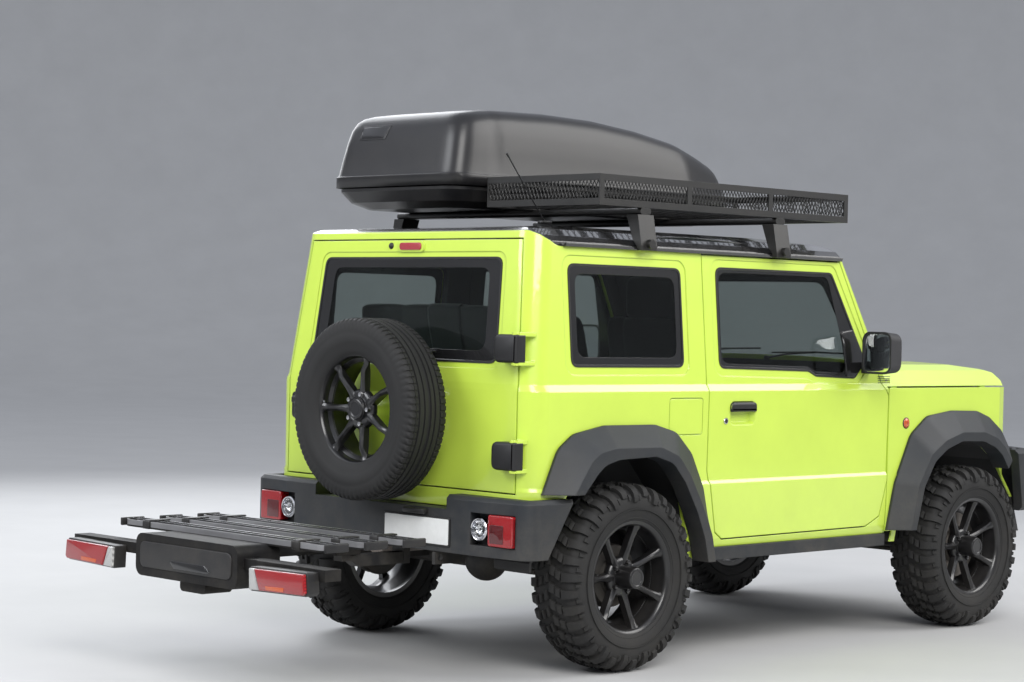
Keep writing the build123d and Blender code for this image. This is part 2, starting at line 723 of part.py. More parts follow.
with BuildPart() as bonnet:
    add(bonnet_block(0))
    add(bonnet_block(BONNET_T), mode=Mode.SUBTRACT)

with BuildPart() as front_fenders:
    for hand in (1, -1):
        skin_y = HALF_WIDTH - FENDER_SKIN
        with BuildSketch(level(450)):
            outline([(x, hand * y) for x, y in (
                (DOOR_FRONT_X + GAP, HALF_WIDTH), (FENDER_FRONT_X - 77, HALF_WIDTH), (FENDER_FRONT_X - 22, 722),
                (FENDER_FRONT_X, 690), (FENDER_FRONT_X, 660), (FENDER_FRONT_X - 37, 690),
                (FENDER_FRONT_X - 87, skin_y), (DOOR_FRONT_X + GAP, skin_y),
            )])
        extrude(amount=FENDER_TOP_Z - 450)
        with BuildSketch(level(FENDER_TOP_Z - 26)):
            outline([(x, hand * y) for x, y in (
                (FIREWALL_X + SEAT, 640), (FIREWALL_X + SEAT, 725), (FENDER_FRONT_X - 37, 700),
                (FENDER_FRONT_X - 7, 640),
            )])
        extrude(amount=26)
        add(liner(FRONT_ARCH, hand * FRONT_LINER_Y, hand * 722))
        with Locations((WHEELBASE, hand * (FRONT_LINER_Y - 10), 400)):
            Box(1200, 80, 260, align=(Align.CENTER, Align.CENTER, Align.MIN), mode=Mode.SUBTRACT)
        add(prism(FRONT_ARCH, hand * 652, hand * 800), mode=Mode.SUBTRACT)
        with BuildSketch(side(max(hand * 600, hand * 800))):
            edge = DOOR_FRONT_X + GAP + 2
            outline(((1000, 440), (edge - 4, 440), (edge - 4, 480), (edge, 671), (edge, 1100), (1000, 1100)))
        extrude(amount=200, mode=Mode.SUBTRACT)
    with Locations((FIREWALL_X - 30, 0, 400)):
        Box(60.6, 2 * (FENDER_SEAT_Y + SEAT), 800, align=(Align.CENTER, Align.CENTER, Align.MIN), mode=Mode.SUBTRACT)
    for x in (FIREWALL_X + 65, WHEELBASE + 190):
        for hand in (1, -1):
            with Locations((x, hand * 688, BONNET_SEAM_Z - SEAT)):
                Box(40, 16, 12, align=(Align.CENTER, Align.CENTER, Align.MAX))
    with Locations((FENDER_FRONT_X - 37, 0, FENDER_TOP_Z)):
        Box(60, 1320, 26, align=(Align.CENTER, Align.CENTER, Align.MAX))
        Box(24, 620, 380, align=(Align.CENTER, Align.CENTER, Align.MAX))

LAMP_Y = 530.0
LAMP_Z = 930.0
LAMP_R = 88.0
SMALL_LAMP = (648.0, 985.0, 30.0)
SLOTS = 5
with BuildPart() as grille:
    with BuildSketch(level(800)):
        with BuildLine():
            Polyline((NOSE_X - 44, 690), (FENDER_FRONT_X + SEAT, 690), (FENDER_FRONT_X + SEAT, -690), (NOSE_X - 44, -690))
            ThreePointArc((NOSE_X - 44, -690), (NOSE_X, 0), (NOSE_X - 44, 690))
        make_face()
    extrude(amount=258)
    for hand in (1, -1):
        with Locations((NOSE_X - 28, hand * LAMP_Y, LAMP_Z)):
            Cylinder(LAMP_R + 14, 44, rotation=(0, 90, 0))
        with Locations((NOSE_X, hand * LAMP_Y, LAMP_Z)):
            Cylinder(LAMP_R + SEAT, 200, rotation=(0, 90, 0), mode=Mode.SUBTRACT)
        with Locations((NOSE_X, hand * SMALL_LAMP[0], SMALL_LAMP[1])):
            Cylinder(SMALL_LAMP[2] + SEAT, 200, rotation=(0, 90, 0), mode=Mode.SUBTRACT)
    with BuildSketch(across(NOSE_X - 155)):
        with Locations((0, 930)):
            with GridLocations(150, 1, SLOTS, 1):
                SlotOverall(190, 88, rotation=90)
    extrude(amount=300, mode=Mode.SUBTRACT)

with BuildPart() as headlamps:
    for hand in (1, -1):
        with Locations((NOSE_X - 32, hand * LAMP_Y, LAMP_Z)):
            Cylinder(LAMP_R, 44, rotation=(0, 90, 0))
        with Locations((NOSE_X - 40, hand * SMALL_LAMP[0], SMALL_LAMP[1])):
            Cylinder(SMALL_LAMP[2], 30, rotation=(0, 90, 0))

STEER_CLEAR = ((0, 745), (250, 725), (318, 650), (402, 530), (442, 360), (442, 300), (0, 300))


def steering_room(hand):
    """Room that a steered wheel needs about its kingpin."""
    with BuildPart() as room:
        with BuildSketch(Plane(origin=(WHEELBASE, hand * KINGPIN_Y, 0), x_dir=(1, 0, 0), z_dir=(0, -1, 0))):
            outline(STEER_CLEAR)
        revolve(axis=Axis((WHEELBASE, hand * KINGPIN_Y, 0), (0, 0, 1)))
    return room.part


with BuildPart() as front_bumper:
    start = WHEELBASE + 270
    with BuildSketch(level(500)) as view:
        outer = ((start, 790), (FRONT_END - 120, 790), (FRONT_END, 600))
        inner = ((start, 744), (FRONT_END - 170, 744), (FRONT_END - 130, 700), (FRONT_END - 90, 560))
        outline(
            list(outer) + [(x, -y) for x, y in reversed(outer)]
            + [(x, -y) for x, y in inner] + [(x, y) for x, y in reversed(inner)]
        )
        fillet(view.vertices().filter_by(lambda v: v.X > start + 10 and v.X in (FRONT_END, FRONT_END - 120)), radius=70)
    extrude(amount=280)
    chamfer(front_bumper.edges().filter_by(Plane.XY).filter_by(lambda e: e.center().X > FRONT_END - 130), length=18)
    with BuildSketch(side(900)):
        outline((
            (start - 120, 400), (start + 126, 400), (start + 126, 530), (start + 80, 790), (start - 120, 800),
        ))
    extrude(amount=1800, mode=Mode.SUBTRACT)
    with BuildSketch(level(760)):
        outline(((FENDER_FRONT_X + 8, 640), (FENDER_FRONT_X + 8, -640), (FRONT_END - 80, -640), (FRONT_END - 80, 640)))
    extrude(amount=20)
    with Locations((FRONT_END, 0, 640)):
        Box(60, 760, 90, mode=Mode.SUBTRACT)
    for hand in (1, -1):
        with Locations((RAIL_FRONT_X + SEAT, hand * RAIL_Y, 602)):
            Box(150, 50, 60, align=(Align.MIN, Align.CENTER, Align.CENTER))
        add(steering_room(hand), mode=Mode.SUBTRACT)

with BuildPart() as rear_bumper:
    with BuildSketch(level(450)) as view:
        outer = ((-290, 790), (-560, 790), (-582, 560))
        inner = ((-290, 744), (-506, 744), (-506, 560))
        outline(
            list(outer) + [(x, -y) for x, y in reversed(outer)]
            + [(x, -y) for x, y in inner] + [(x, y) for x, y in reversed(inner)]
        )
        fillet(view.vertices().filter_by(lambda v: v.X < -550 and abs(v.Y) > 700), radius=60)
    extrude(amount=217)
    top_edges = rear_bumper.faces().sort_by(Axis.Z)[-1].edges()
    chamfer(top_edges.filter_by(lambda e: e.center().X < -500 and e.center().X != -506), length=14)
    with BuildSketch(side(900)):
        outline(((-200, 300), (-200, 750), (-268, 750), (-460, 440), (-460, 300)))
    extrude(amount=1800, mode=Mode.SUBTRACT)
    with Locations((-582, 0, 667)):
        Box(400, 760, 110, mode=Mode.SUBTRACT)
    for hand in (1, -1):
        with Locations((-582, hand * 620, 550)):
            Box(100, 220, 120, mode=Mode.SUBTRACT)
        with Locations((RAIL_REAR_X - SEAT, hand * RAIL_Y, 572)):
            Box(40, 50, 60, align=(Align.MAX, Align.CENTER, Align.CENTER))

with BuildPart() as tail_lamps:
    for hand in (1, -1):
        with Locations((-557, hand * 664, 550)):
            Box(49, 131, 119)
        with Locations((-557, hand * 553, 550)):
            Cylinder(43, 49, rotation=(0, 90, 0))

# Flares: x and z on the body, of the lip and of the opening
REAR_FLARE = (
    ((-446, 684), (-350, 684), (-300, 684)),
    ((-368, 850), (-262, 806), (-232, 757)),
    ((-288, 905), (-213, 838), (-190, 790)),
    ((-122, 934), (-130, 853), (-113, 809)),
    ((159, 933), (120, 851), (92, 816)),
    ((283, 902), (222, 815), (190, 788)),
    ((377, 817), (292, 738), (262, 712)),
    ((452, 679), (372, 610), (338, 592)),
    ((492, 525), (428, 500), (385, 490)),
    ((497, 396), (452, 396), (408, 396)),
)
FRONT_FLARE = tuple(tuple((WHEELBASE + x, z) for x, z in row) for row in (
    ((-582, 455), (-505, 455), (-468, 455)),
    ((-528, 660), (-450, 655), (-414, 640)),
    ((-419, 864), (-360, 783), (-338, 748)),
    ((-302, 942), (-260, 838), (-250, 800)),
    ((-116, 964), (-134, 871), (-138, 832)),
    ((74, 960), (38, 869), (30, 828)),
    ((173, 931), (142, 838), (125, 798)),
    ((274, 869), (202, 796), (180, 762)),
    ((336, 793), (258, 735), (230, 700)),
))
FLARE_REACH = 822.0
FLARE_ROUND = 90.0


def near(vertex, points):
    """Whether a vertex of the open sketch is one of the points."""
    return any(abs(vertex.X - x) + abs(vertex.Y - z) < 0.1 for x, z in points)


def flare(table, hand):
    """Flare on one arch: a ruled skin from the body out to the lip, and a turned-in lip."""
    wide = [row[0] for row in table]
    lip = [row[1] for row in table]
    opening = [row[2] for row in table]
    with BuildPart() as piece:
        for y, edge in ((HALF_WIDTH + SEAT, wide), (HALF_WIDTH + 12, wide), (FLARE_REACH, lip)):
            with BuildSketch(side(hand * y)) as rim:
                outline(edge + opening[::-1])
                bends = edge[1:-1] + opening[1:-1]
                fillet(rim.vertices().filter_by(lambda v: near(v, bends)), radius=FLARE_ROUND)
        loft(ruled=True)
        add(stacked([(z, half + SEAT, rear - SEAT) for z, half, rear in BODY_LEVELS[:5]]), mode=Mode.SUBTRACT)
    return piece.part


with BuildPart() as arch_flares:
    for hand in (1, -1):
        add(flare(REAR_FLARE, hand))
        add(flare(FRONT_FLARE, hand))

SILL_X = 500.0
with BuildPart() as sill_covers:
    for hand in (1, -1):
        with Locations((SILL_X, hand * 690, 414)):
            Box(DOOR_FRONT_X + 1 - SILL_X, 90, 51.4, align=(Align.MIN, Align.CENTER, Align.CENTER))

# Ladder frame: x and z of the underside of each rail
RAIL_LINE = (
    (RAIL_REAR_X, 530), (250, 530), (400, 425), (WHEELBASE - 530, 425), (WHEELBASE - 370, 560),
    (RAIL_FRONT_X, 560),
)
CROSSMEMBERS = (
    (-440, 530), (300, 500), (TRANSFER_X[0] - 30, 425), (WHEELBASE - 310, 560), (RAIL_FRONT_X - 40, 560),
)
OUTRIGGERS = ((470, FLOOR_Z), (FIREWALL_X - 60, FLOOR_Z))
LINK_MOUNTS = (630, WHEELBASE - 660)
TOW_EYES = (
    ((-560, 424), ((-430, 540), (-430, 400), (-588, 400), (-588, 447), (-503, 447), (-503, 540))),
    ((FRONT_END - 100, 466), tuple((FRONT_END + x, z) for x, z in (
        (-270, 570), (-270, 442), (-72, 442), (-72, 491), (-180, 494), (-180, 570)))),
)
with BuildPart() as frame_rails:
    for hand in (1, -1):
        with BuildSketch(side(hand * RAIL_Y + RAIL_WIDTH / 2)):
            outline(list(RAIL_LINE) + [(x, z + RAIL_DEPTH) for x, z in reversed(RAIL_LINE)])
        extrude(amount=RAIL_WIDTH)
        for x, z in OUTRIGGERS:
            with Locations((x, hand * 480, z - SEAT)):
                Box(70, 320, 50, align=(Align.CENTER, Align.CENTER, Align.MAX))
        for x in LINK_MOUNTS:
            with Locations((x, hand * RAIL_Y, 430)):
                Box(60, 46, 75, align=(Align.CENTER, Align.CENTER, Align.MAX))
        for (x, z), plate in TOW_EYES:
            with BuildSketch(side(hand * RAIL_Y + EYE_THICKNESS / 2)):
                outline(plate)
                with Locations((x, z)):
                    Circle(EYE_R, mode=Mode.SUBTRACT)
            extrude(amount=EYE_THICKNESS)
    for x, z in CROSSMEMBERS:
        with Locations((x, 0, z + RAIL_DEPTH / 2)):
            Box(60, 2 * RAIL_Y, 60)
    with Locations((-462, 0, 560)):
        Box(30, 70, 190, align=(Align.CENTER, Align.CENTER, Align.MAX))
    with BuildSketch(side(25)):
        outline(((-450, 370), (-450, 415), (-700, 415), (-742, 415), (-742, 400), (-700, 370)))
        with Locations((BALL[0], 414)):
            Rectangle(44, 40)
    extrude(amount=50)
    with Locations((BALL[0], 0, 430)):
        Cylinder(14, 50)
    with Locations(BALL):
        Sphere(BALL_R)


def axle(x, half, diff_y, nose, bracket):
    """Solid axle: tube, differential with its pinion nose, spring seats and link brackets."""
    with BuildPart() as housing:
        with Locations((x, 0, HUB_Z)):
            Cylinder(AXLE_TUBE_R, 2 * half, rotation=(90, 0, 0))
        with Locations((x, diff_y, HUB_Z)):
            Sphere(DIFF_R)
        with Locations((x + nose * NOSE_LENGTH / 2, diff_y, PROP_Z)):
            Cylinder(36, NOSE_LENGTH, rotation=(0, 90, 0))
        for hand in (1, -1):
            with Locations((x, hand * RAIL_Y, HUB_Z + AXLE_TUBE_R - 4)):
                Cylinder(SPRING_R + 6, 12, align=(Align.CENTER, Align.CENTER, Align.MIN))
            with Locations((x + bracket * 60, hand * RAIL_Y, HUB_Z + 22)):
                Box(60, 46, 40)
            with Locations((x - bracket * 90, hand * RAIL_Y, HUB_Z + 10)):
                Box(120, 46, 40)
    return housing


rear_axle = axle(0, TRACK / 2 - DRUM_DEPTH - SEAT, 0, 1, 1)
front_axle = axle(WHEELBASE, KINGPIN_Y - 55, 120, -1, -1)
with front_axle:
    for hand in (1, -1):
        with Locations((WHEELBASE, hand * (KINGPIN_Y - 62), HUB_Z)):
            Box(60, 14, 2 * (EAR_Z + 15))
        for up in (1, -1):
            with Locations((WHEELBASE, hand * (KINGPIN_Y - 25), HUB_Z + up * (EAR_Z + 7.5))):
                Box(56, 86, 15)

SPRING_FOOT = HUB_Z + AXLE_TUBE_R + 8 + SEAT
with BuildPart() as coil_springs:
    for x, top in ((0, 530), (WHEELBASE, 560)):
        for hand in (1, -1):
            with Locations((x, hand * RAIL_Y, SPRING_FOOT)):
                Cylinder(SPRING_R, top - SPRING_FOOT - SEAT, align=(Align.CENTER, Align.CENTER, Align.MIN))

with BuildPart() as dampers:
    for x, top in ((-120, 530), (WHEELBASE + 120, 560)):
        for hand in (1, -1):
            with Locations((x, hand * RAIL_Y, HUB_Z + 30 + SEAT)):
                Cylinder(22, top - HUB_Z - 30 - 2 * SEAT, align=(Align.CENTER, Align.CENTER, Align.MIN))

with BuildPart() as suspension_links:
    for start, end in ((90, LINK_MOUNTS[0] - 30), (LINK_MOUNTS[1] + 30, WHEELBASE - 90)):
        for hand in (1, -1):
            with Locations((start + SEAT, hand * RAIL_Y, HUB_Z + 22)):
                Box(end - start - 2 * SEAT, 30, 34, align=(Align.MIN, Align.CENTER, Align.CENTER))

with BuildPart() as engine:
    with Locations((WHEELBASE - 230, 0, 790)):
        Box(560, 380, 280)
    with Locations((WHEELBASE - 230, 0, 650)):
        Box(500, 300, 2 * (650 - ENGINE_FOOT_Z))
    with BuildSketch(side(120)):
        rear, front = TRANSFER_X
        outline((
            (rear + SEAT, 430), (rear + 30, 430), (rear + 30, 352), (front, 352), (front, 430),
            (FIREWALL_X, 430), (FIREWALL_X + 90, 600), (FIREWALL_X + 90, 700), (FIREWALL_X + 40, 700),
            (FIREWALL_X + 6, 524), (rear + SEAT, 524),
        ))
    extrude(amount=240)

with BuildPart() as propshafts:
    with Locations((NOSE_LENGTH + SEAT, 0, PROP_Z)):
        length = TRANSFER_X[0] + 30 - NOSE_LENGTH - 2 * SEAT
        Cylinder(26, length, rotation=(0, 90, 0), align=(Align.CENTER, Align.CENTER, Align.MIN))
    with Locations((TRANSFER_X[1] + SEAT, 120 - 30, PROP_Z)):
        length = WHEELBASE - NOSE_LENGTH - TRANSFER_X[1] - 2 * SEAT
        Cylinder(20, length, rotation=(0, 90, 0), align=(Align.CENTER, Align.CENTER, Align.MIN))

with BuildPart() as fuel_tank:
    with Locations((670, -(RAIL_Y - RAIL_WIDTH / 2 - SEAT), 462)):
        Box(420, 240, 110, align=(Align.CENTER, Align.MIN, Align.CENTER))

with BuildPart() as exhaust:
    with Locations((-290, 180, 450)):
        Cylinder(62, 290, rotation=(0, 90, 0))
    with BuildLine() as pipe:
        FilletPolyline(
            (-150, 180, 450), (210, 180, 450), (400, 180, 398), (FIREWALL_X - 20, 180, 398),
            (WHEELBASE - 400, 180, ENGINE_FOOT_Z - SEAT), radius=60,
        )
    with BuildSketch(Plane(origin=(-150, 180, 450), x_dir=(0, 1, 0), z_dir=(1, 0, 0))):
        Circle(22)
    sweep(path=pipe.line)
    with Locations((-425, 180, 542.5 - SEAT)):
        Box(12, 24, 120, align=(Align.CENTER, Align.CENTER, Align.MAX))

STEERING_WHEEL = Plane(origin=(FIREWALL_X - 380, 330, 1055), x_dir=(0, 1, 0), z_dir=(-0.91, 0, 0.415))
with BuildPart() as dashboard:
    firewall = FIREWALL_X - FIREWALL_T - SEAT
    with BuildSketch(side(625)) as view:
        outline((
            (firewall, 1030), (firewall - 50, 1075), (firewall - 100, 1090), (firewall - 230, 1075),
            (firewall - 265, 1040), (firewall - 265, 940), (firewall - 200, 860), (firewall, 820),
        ))
        fillet(view.vertices().filter_by(lambda v: v.X < firewall - 1), radius=16)
    extrude(amount=1250)
    with BuildSketch(STEERING_WHEEL.offset(-72 - SEAT)):
        Circle(32)
    extrude(amount=-80)

with BuildPart() as steering_wheel:
    with BuildSketch(Plane(origin=STEERING_WHEEL.origin, x_dir=STEERING_WHEEL.x_dir, z_dir=STEERING_WHEEL.y_dir)):
        with Locations((172, 0)):
            Circle(14)
    revolve(axis=Axis(STEERING_WHEEL.origin, STEERING_WHEEL.z_dir))
    with BuildSketch(STEERING_WHEEL.offset(-22)):
        Circle(62)
        with PolarLocations(0, 3, start_angle=90):
            Rectangle(168, 34, align=(Align.MIN, Align.CENTER))
    extrude(amount=30)
    with BuildSketch(STEERING_WHEEL.offset(-22)):
        Circle(22)
    extrude(amount=-50)

SEAT_Y = 340.0
with BuildPart() as front_seats:
    for hand in (1, -1):
        with BuildSketch(side(hand * SEAT_Y + 250)) as view:
            outline((
                (760, 700), (1230, 700), (1250, 780), (1220, 825), (780, 800), (740, 880), (640, 1330),
                (560, 1350), (555, 1290), (640, 860), (690, 720),
            ))
            fillet(view.vertices(), radius=18)
        extrude(amount=500)
        with Locations((1000, hand * SEAT_Y, 630)):
            Box(420, 360, 143)
        with BuildSketch(side(hand * SEAT_Y + 130)):
            with Locations((592, 1425)):
                RectangleRounded(92, 180, 40, rotation=8)
        extrude(amount=260)
        for y in (-50, 50):
            with Locations((588, hand * SEAT_Y + y, 1320)):
                Cylinder(7, 100)

with BuildPart() as rear_seat:
    with BuildSketch(side(520)) as view:
        outline(((-120, 860), (380, 880), (400, 980), (-40, 950), (-190, 1380), (-270, 1380), (-250, 1300)))
        fillet(view.vertices(), radius=22)
    extrude(amount=1040)
    with Locations((120, 0, CARGO_FLOOR_Z + FLOOR_T + SEAT)):
        Box(420, 900, 230, align=(Align.CENTER, Align.CENTER, Align.MIN))

# Roof bars, basket and box
with BuildPart() as roof_bars:
    for x in BAR_X:
        with BuildSketch(side(BAR_HALF)):
            with Locations((x, BAR_Z)):
                RectangleRounded(BAR_SECTION[0], BAR_SECTION[1], 12)
        extrude(amount=2 * BAR_HALF)
        for hand in (1, -1):
            with BuildSketch(across(x - 45)):
                outline([(hand * y, z) for y, z in (
                    (640, BAR_Z - 13), (700, BAR_Z - 13), (722, ROOF_SPLIT_Z + 18),
                    (722, ROOF_SPLIT_Z), (698.3, ROOF_SPLIT_Z), (698.3, ROOF_SPLIT_Z + 15), (676, ROOF_SPLIT_Z + 40))])
            extrude(amount=90)
            with BuildSketch(side(hand * 720 + 20)):
                with Locations((x, ROOF_SPLIT_Z + 24)):
                    Circle(18)
            extrude(amount=40)

# Basket: angle rails and posts, with pierced side panels behind them
BASKET_T = 5.0
BASKET_BAR = 26.0
PANEL_T = 3.0
DIAMOND = (22.0, 62.0, 30.0)


def basket_rail(along, edge, inward, z, up):
    """Angle rail of one edge: an upright flange and one turned in, at z."""
    low, high = (BASKET_X if along == "x" else BASKET_Y)
    middle, length = (low + high) / 2, high - low
    for thick, deep, tall in ((BASKET_T, BASKET_T / 2, BASKET_BAR), (BASKET_BAR, BASKET_BAR / 2, BASKET_T)):
        centre_z = z + up * tall / 2
        place = edge + inward * deep
        if along == "x":
            with Locations((middle, place, centre_z)):
                Box(length, thick, tall)
        else:
            with Locations((place, middle, centre_z)):
                Box(thick, length, tall)


def pierced_panel(length):
    """Panel in the XZ plane about its middle, with a row of diamonds."""
    width, height, pitch = DIAMOND
    with BuildPart() as panel:
        with BuildSketch(Plane.XZ):
            Rectangle(length, BASKET_Z[1] - BASKET_Z[0] - 2 * (BASKET_T + SEAT))
            count = int((length - 40) / pitch)
            with GridLocations(pitch, 1, count, 1):
                Polygon((0, height / 2), (width / 2, 0), (0, -height / 2), (-width / 2, 0), mode=Mode.SUBTRACT)
        extrude(amount=PANEL_T / 2, both=True)
    return panel.part


with BuildPart() as roof_basket:
    x0, x1 = BASKET_X
    y0, y1 = BASKET_Y
    z0, z1 = BASKET_Z
    for z, up in ((z0, 1), (z1, -1)):
        for edge, inward in ((y0, 1), (y1, -1)):
            basket_rail("x", edge, inward, z, up)
        for edge, inward in ((x0, 1), (x1, -1)):
            basket_rail("y", edge, inward, z, up)
    for share in (0, 1 / 3, 2 / 3, 1):
        x = x0 + BASKET_BAR / 2 + (x1 - x0 - BASKET_BAR) * share
        for edge, inward in ((y0, 1), (y1, -1)):
            with Locations((x, edge + inward * BASKET_T / 2, (z0 + z1) / 2)):
                Box(BASKET_BAR, BASKET_T, z1 - z0)
    for index in range(9):
        with Locations((x0 + (x1 - x0) * (index + 1) / 10, (y0 + y1) / 2, z0 + 6)):
            Box(14, y1 - y0 - 2 * (BASKET_T + PANEL_T + 2 * SEAT), 12)

panel_in = BASKET_T + SEAT + PANEL_T / 2
with BuildPart() as basket_mesh:
    for y in (y0 + panel_in, y1 - panel_in):
        add(pierced_panel(x1 - x0 - 2 * (BASKET_T + SEAT)).moved(Location(((x0 + x1) / 2, y, (z0 + z1) / 2))))
    for x in (x0 + panel_in, x1 - panel_in):
        end_panel = pierced_panel(y1 - y0 - 2 * (BASKET_T + SEAT + PANEL_T + SEAT))
        add(end_panel.moved(Location((x, (y0 + y1) / 2, (z0 + z1) / 2), (0, 0, 90))))

# Roof box: its plan, and the lid's cross-sections from the rear to the front
BOX_PLAN = (
    (BOX_REAR_X, BOX_Y[0]), (BOX_REAR_X, BOX_Y[1]), (BOX_REAR_X + 1420, BOX_Y[1]), (BOX_REAR_X + 1740, BOX_Y[1] - 80),
    (BOX_REAR_X + BOX_LENGTH, BOX_Y[1] - 250), (BOX_REAR_X + BOX_LENGTH, BOX_Y[0] + 250),
    (BOX_REAR_X + 1740, BOX_Y[0] + 80), (BOX_REAR_X + 1420, BOX_Y[0]),
)
BOX_MID_Y = (BOX_Y[0] + BOX_Y[1]) / 2
BOX_HALF = (BOX_Y[1] - BOX_Y[0]) / 2
# share of the length, lean of the section's top, shoulder's share of the half width, shoulder and ridge below the top
LID_SECTIONS = (
    (0.0, 52, 0.86, 100, 58), (0.07, 26, 0.89, 74, 20), (0.14, 8, 0.90, 66, 6), (0.36, 0, 0.88, 60, 0),
    (0.58, -10, 0.82, 92, 30), (0.80, -40, 0.66, 180, 112), (1.0, -110, 0.42, 262, 224),
)
BASE_LEVELS = ((RACK_Z, 92, 60), (RACK_Z + 26, 40, 20), (BOX_RIM_Z - 12, 10, 4), (BOX_RIM_Z, 9, 3))


def box_plan(inset, front=0.0):
    """Plan of the roof box in the open sketch, moved in by inset and its front by front more."""
    points = []
    for x, y in BOX_PLAN:
        share = (x - BOX_REAR_X) / BOX_LENGTH
        points.append((
            x + inset - (2 * inset + front) * share, BOX_MID_Y + (y - BOX_MID_Y) * (1 - inset / BOX_HALF)))
    outline(points)


def box_tub(inset, rise):
    """Tub of the roof box, as a ruled solid through its levels."""
    with BuildPart() as tub:
        for z, level_inset, front in BASE_LEVELS:
            with BuildSketch(level(z + rise)) as plan:
                box_plan(level_inset + inset, front)
                fillet(plan.vertices(), radius=BOX_ROUND - inset)
        loft(ruled=True)
    return tub.part


def box_lid(inset):
    """Lid's outer form less an inset: sections from the rear to the front inside the plan."""
    with BuildPart() as lid:
        for share, lean, shoulder, down, ridge in LID_SECTIONS:
            x = BOX_REAR_X + inset + (BOX_LENGTH - 2 * inset) * share
            foot = BOX_RIM_Z + GAP
            height = BOX_TOP_Z - foot
            plane = Plane(origin=(x, BOX_MID_Y, foot), x_dir=(0, 1, 0), z_dir=(height, 0, -lean))
            half = BOX_HALF - inset
            up = height - down - inset
            with BuildSketch(plane) as section:
                with BuildLine():
                    Polyline((-half * shoulder, up), (-half, 0), (half, 0), (half * shoulder, up))
                    ThreePointArc((half * shoulder, up), (0, height - ridge - inset), (-half * shoulder, up))
                make_face()
                fillet(section.vertices().filter_by(lambda v: v.Y > 1), radius=min(SHOULDER_ROUND, up * 0.6))
        loft(ruled=True)
        with BuildSketch(level(BOX_RIM_Z - 50)) as plan:
            box_plan(LID_STEP + inset)
            fillet(plan.vertices(), radius=BOX_ROUND - inset)
        extrude(amount=600, mode=Mode.INTERSECT)
    return lid.part


BOX_ROUND = 95.0
SHOULDER_ROUND = 48.0
LID_STEP = 9.0
RIM_BAND = 50.0
with BuildPart() as roof_box_base:
    add(box_tub(0, 0))
    add(box_tub(BOX_WALL, BOX_WALL), mode=Mode.SUBTRACT)
    with BuildSketch(level(BOX_RIM_Z)) as plan:
        box_plan(9)
        fillet(plan.vertices(), radius=BOX_ROUND)
    extrude(amount=40, mode=Mode.SUBTRACT)
    for x in BOX_HINGE_X:
        with Locations((x, BOX_HINGE_Y, BOX_RIM_Z + 2)):
            Cylinder(HINGE_R, 24, rotation=(0, 90, 0))
        with Locations((x, BOX_HINGE_Y, BOX_RIM_Z - HINGE_R + 6)):
            Box(24, 24, 10, align=(Align.CENTER, Align.MIN, Align.MAX))
with BuildPart() as roof_box_lid:
    add(box_lid(0))
    with BuildSketch(level(BOX_RIM_Z + GAP)) as plan:
        box_plan(0)
        fillet(plan.vertices(), radius=BOX_ROUND)
    extrude(amount=RIM_BAND - GAP)
    add(box_lid(BOX_WALL), mode=Mode.SUBTRACT)
    for x in BOX_HINGE_X:
        for end in (-1, 1):
            with Locations((x + end * 21.3, BOX_HINGE_Y, BOX_RIM_Z + 2)):
                Cylinder(HINGE_R, 18, rotation=(0, 90, 0))
            with Locations((x + end * 21.3, BOX_HINGE_Y, BOX_RIM_Z + 4)):
                Box(18, 16, HINGE_R + 2, align=(Align.CENTER, Align.MIN, Align.MIN))

# Carrier platform on the towball: coupling, beam, centre box with its lamp arms, and wheel trays
TRAY_X = (-1300, -1120, -940)
TRAY = (96.0, 1200.0, 26.0, 4.0)
with BuildPart() as carrier:
    with Locations((BALL[0] - 10, 0, BALL[2])):
        Box(120, 90, 84)
    with Locations((BALL[0], 0, BALL[2] - 42)):
        Cylinder(36, 84, mode=Mode.SUBTRACT)
    with Locations(BALL):
        Sphere(BALL_R + SEAT, mode=Mode.SUBTRACT)
    with Locations((-1100, 0, 462)):
        Box(600, 90, 60)
    with BuildSketch(across(-1495)):
        with Locations((0, 437)):
            RectangleRounded(600, 154, 36)
    extrude(amount=190)
    with BuildSketch(across(-1460)):
        with Locations((0, 342)):
            RectangleRounded(150, 44, 18)
    extrude(amount=120)
    for hand in (1, -1):
        with Locations((-1150, hand * 260, 492)):
            Box(620, 34, 34)
        with Locations((REAR_END + CARRIER_LAMP_T + SEAT, hand * 420, 450)):
            Box(70, 640, 40, align=(Align.MIN, Align.CENTER, Align.CENTER))
    width, length, height, wall = TRAY
    for x in TRAY_X:
        with BuildSketch(level(508)):
            with Locations((x, 0)):
                SlotOverall(length, width, rotation=90)
        extrude(amount=height)
        with BuildSketch(level(508 + wall)):
            with Locations((x, 0)):
                SlotOverall(length - 2 * wall, width - 2 * wall, rotation=90)
        extrude(amount=height, mode=Mode.SUBTRACT)
    with Locations((-1000, 0, 490)):
        Box(60, 560, 40)

# Lamp: rear view of the right one, y outward and z
CARRIER_LAMP = ((398, 455), (705, 461), (712, 392), (700, 380), (404, 372))
with BuildPart() as carrier_lamps:
    for hand in (1, -1):
        with BuildSketch(across(REAR_END)):
            outline([(hand * y, z) for y, z in CARRIER_LAMP])
        extrude(amount=CARRIER_LAMP_T)

with BuildPart() as tie_rod:
    with Locations((WHEELBASE - STEER_ARM, 0, TIE_ROD_Z)):
        Cylinder(TIE_ROD_R, 2 * KINGPIN_Y + 20, rotation=(90, 0, 0))

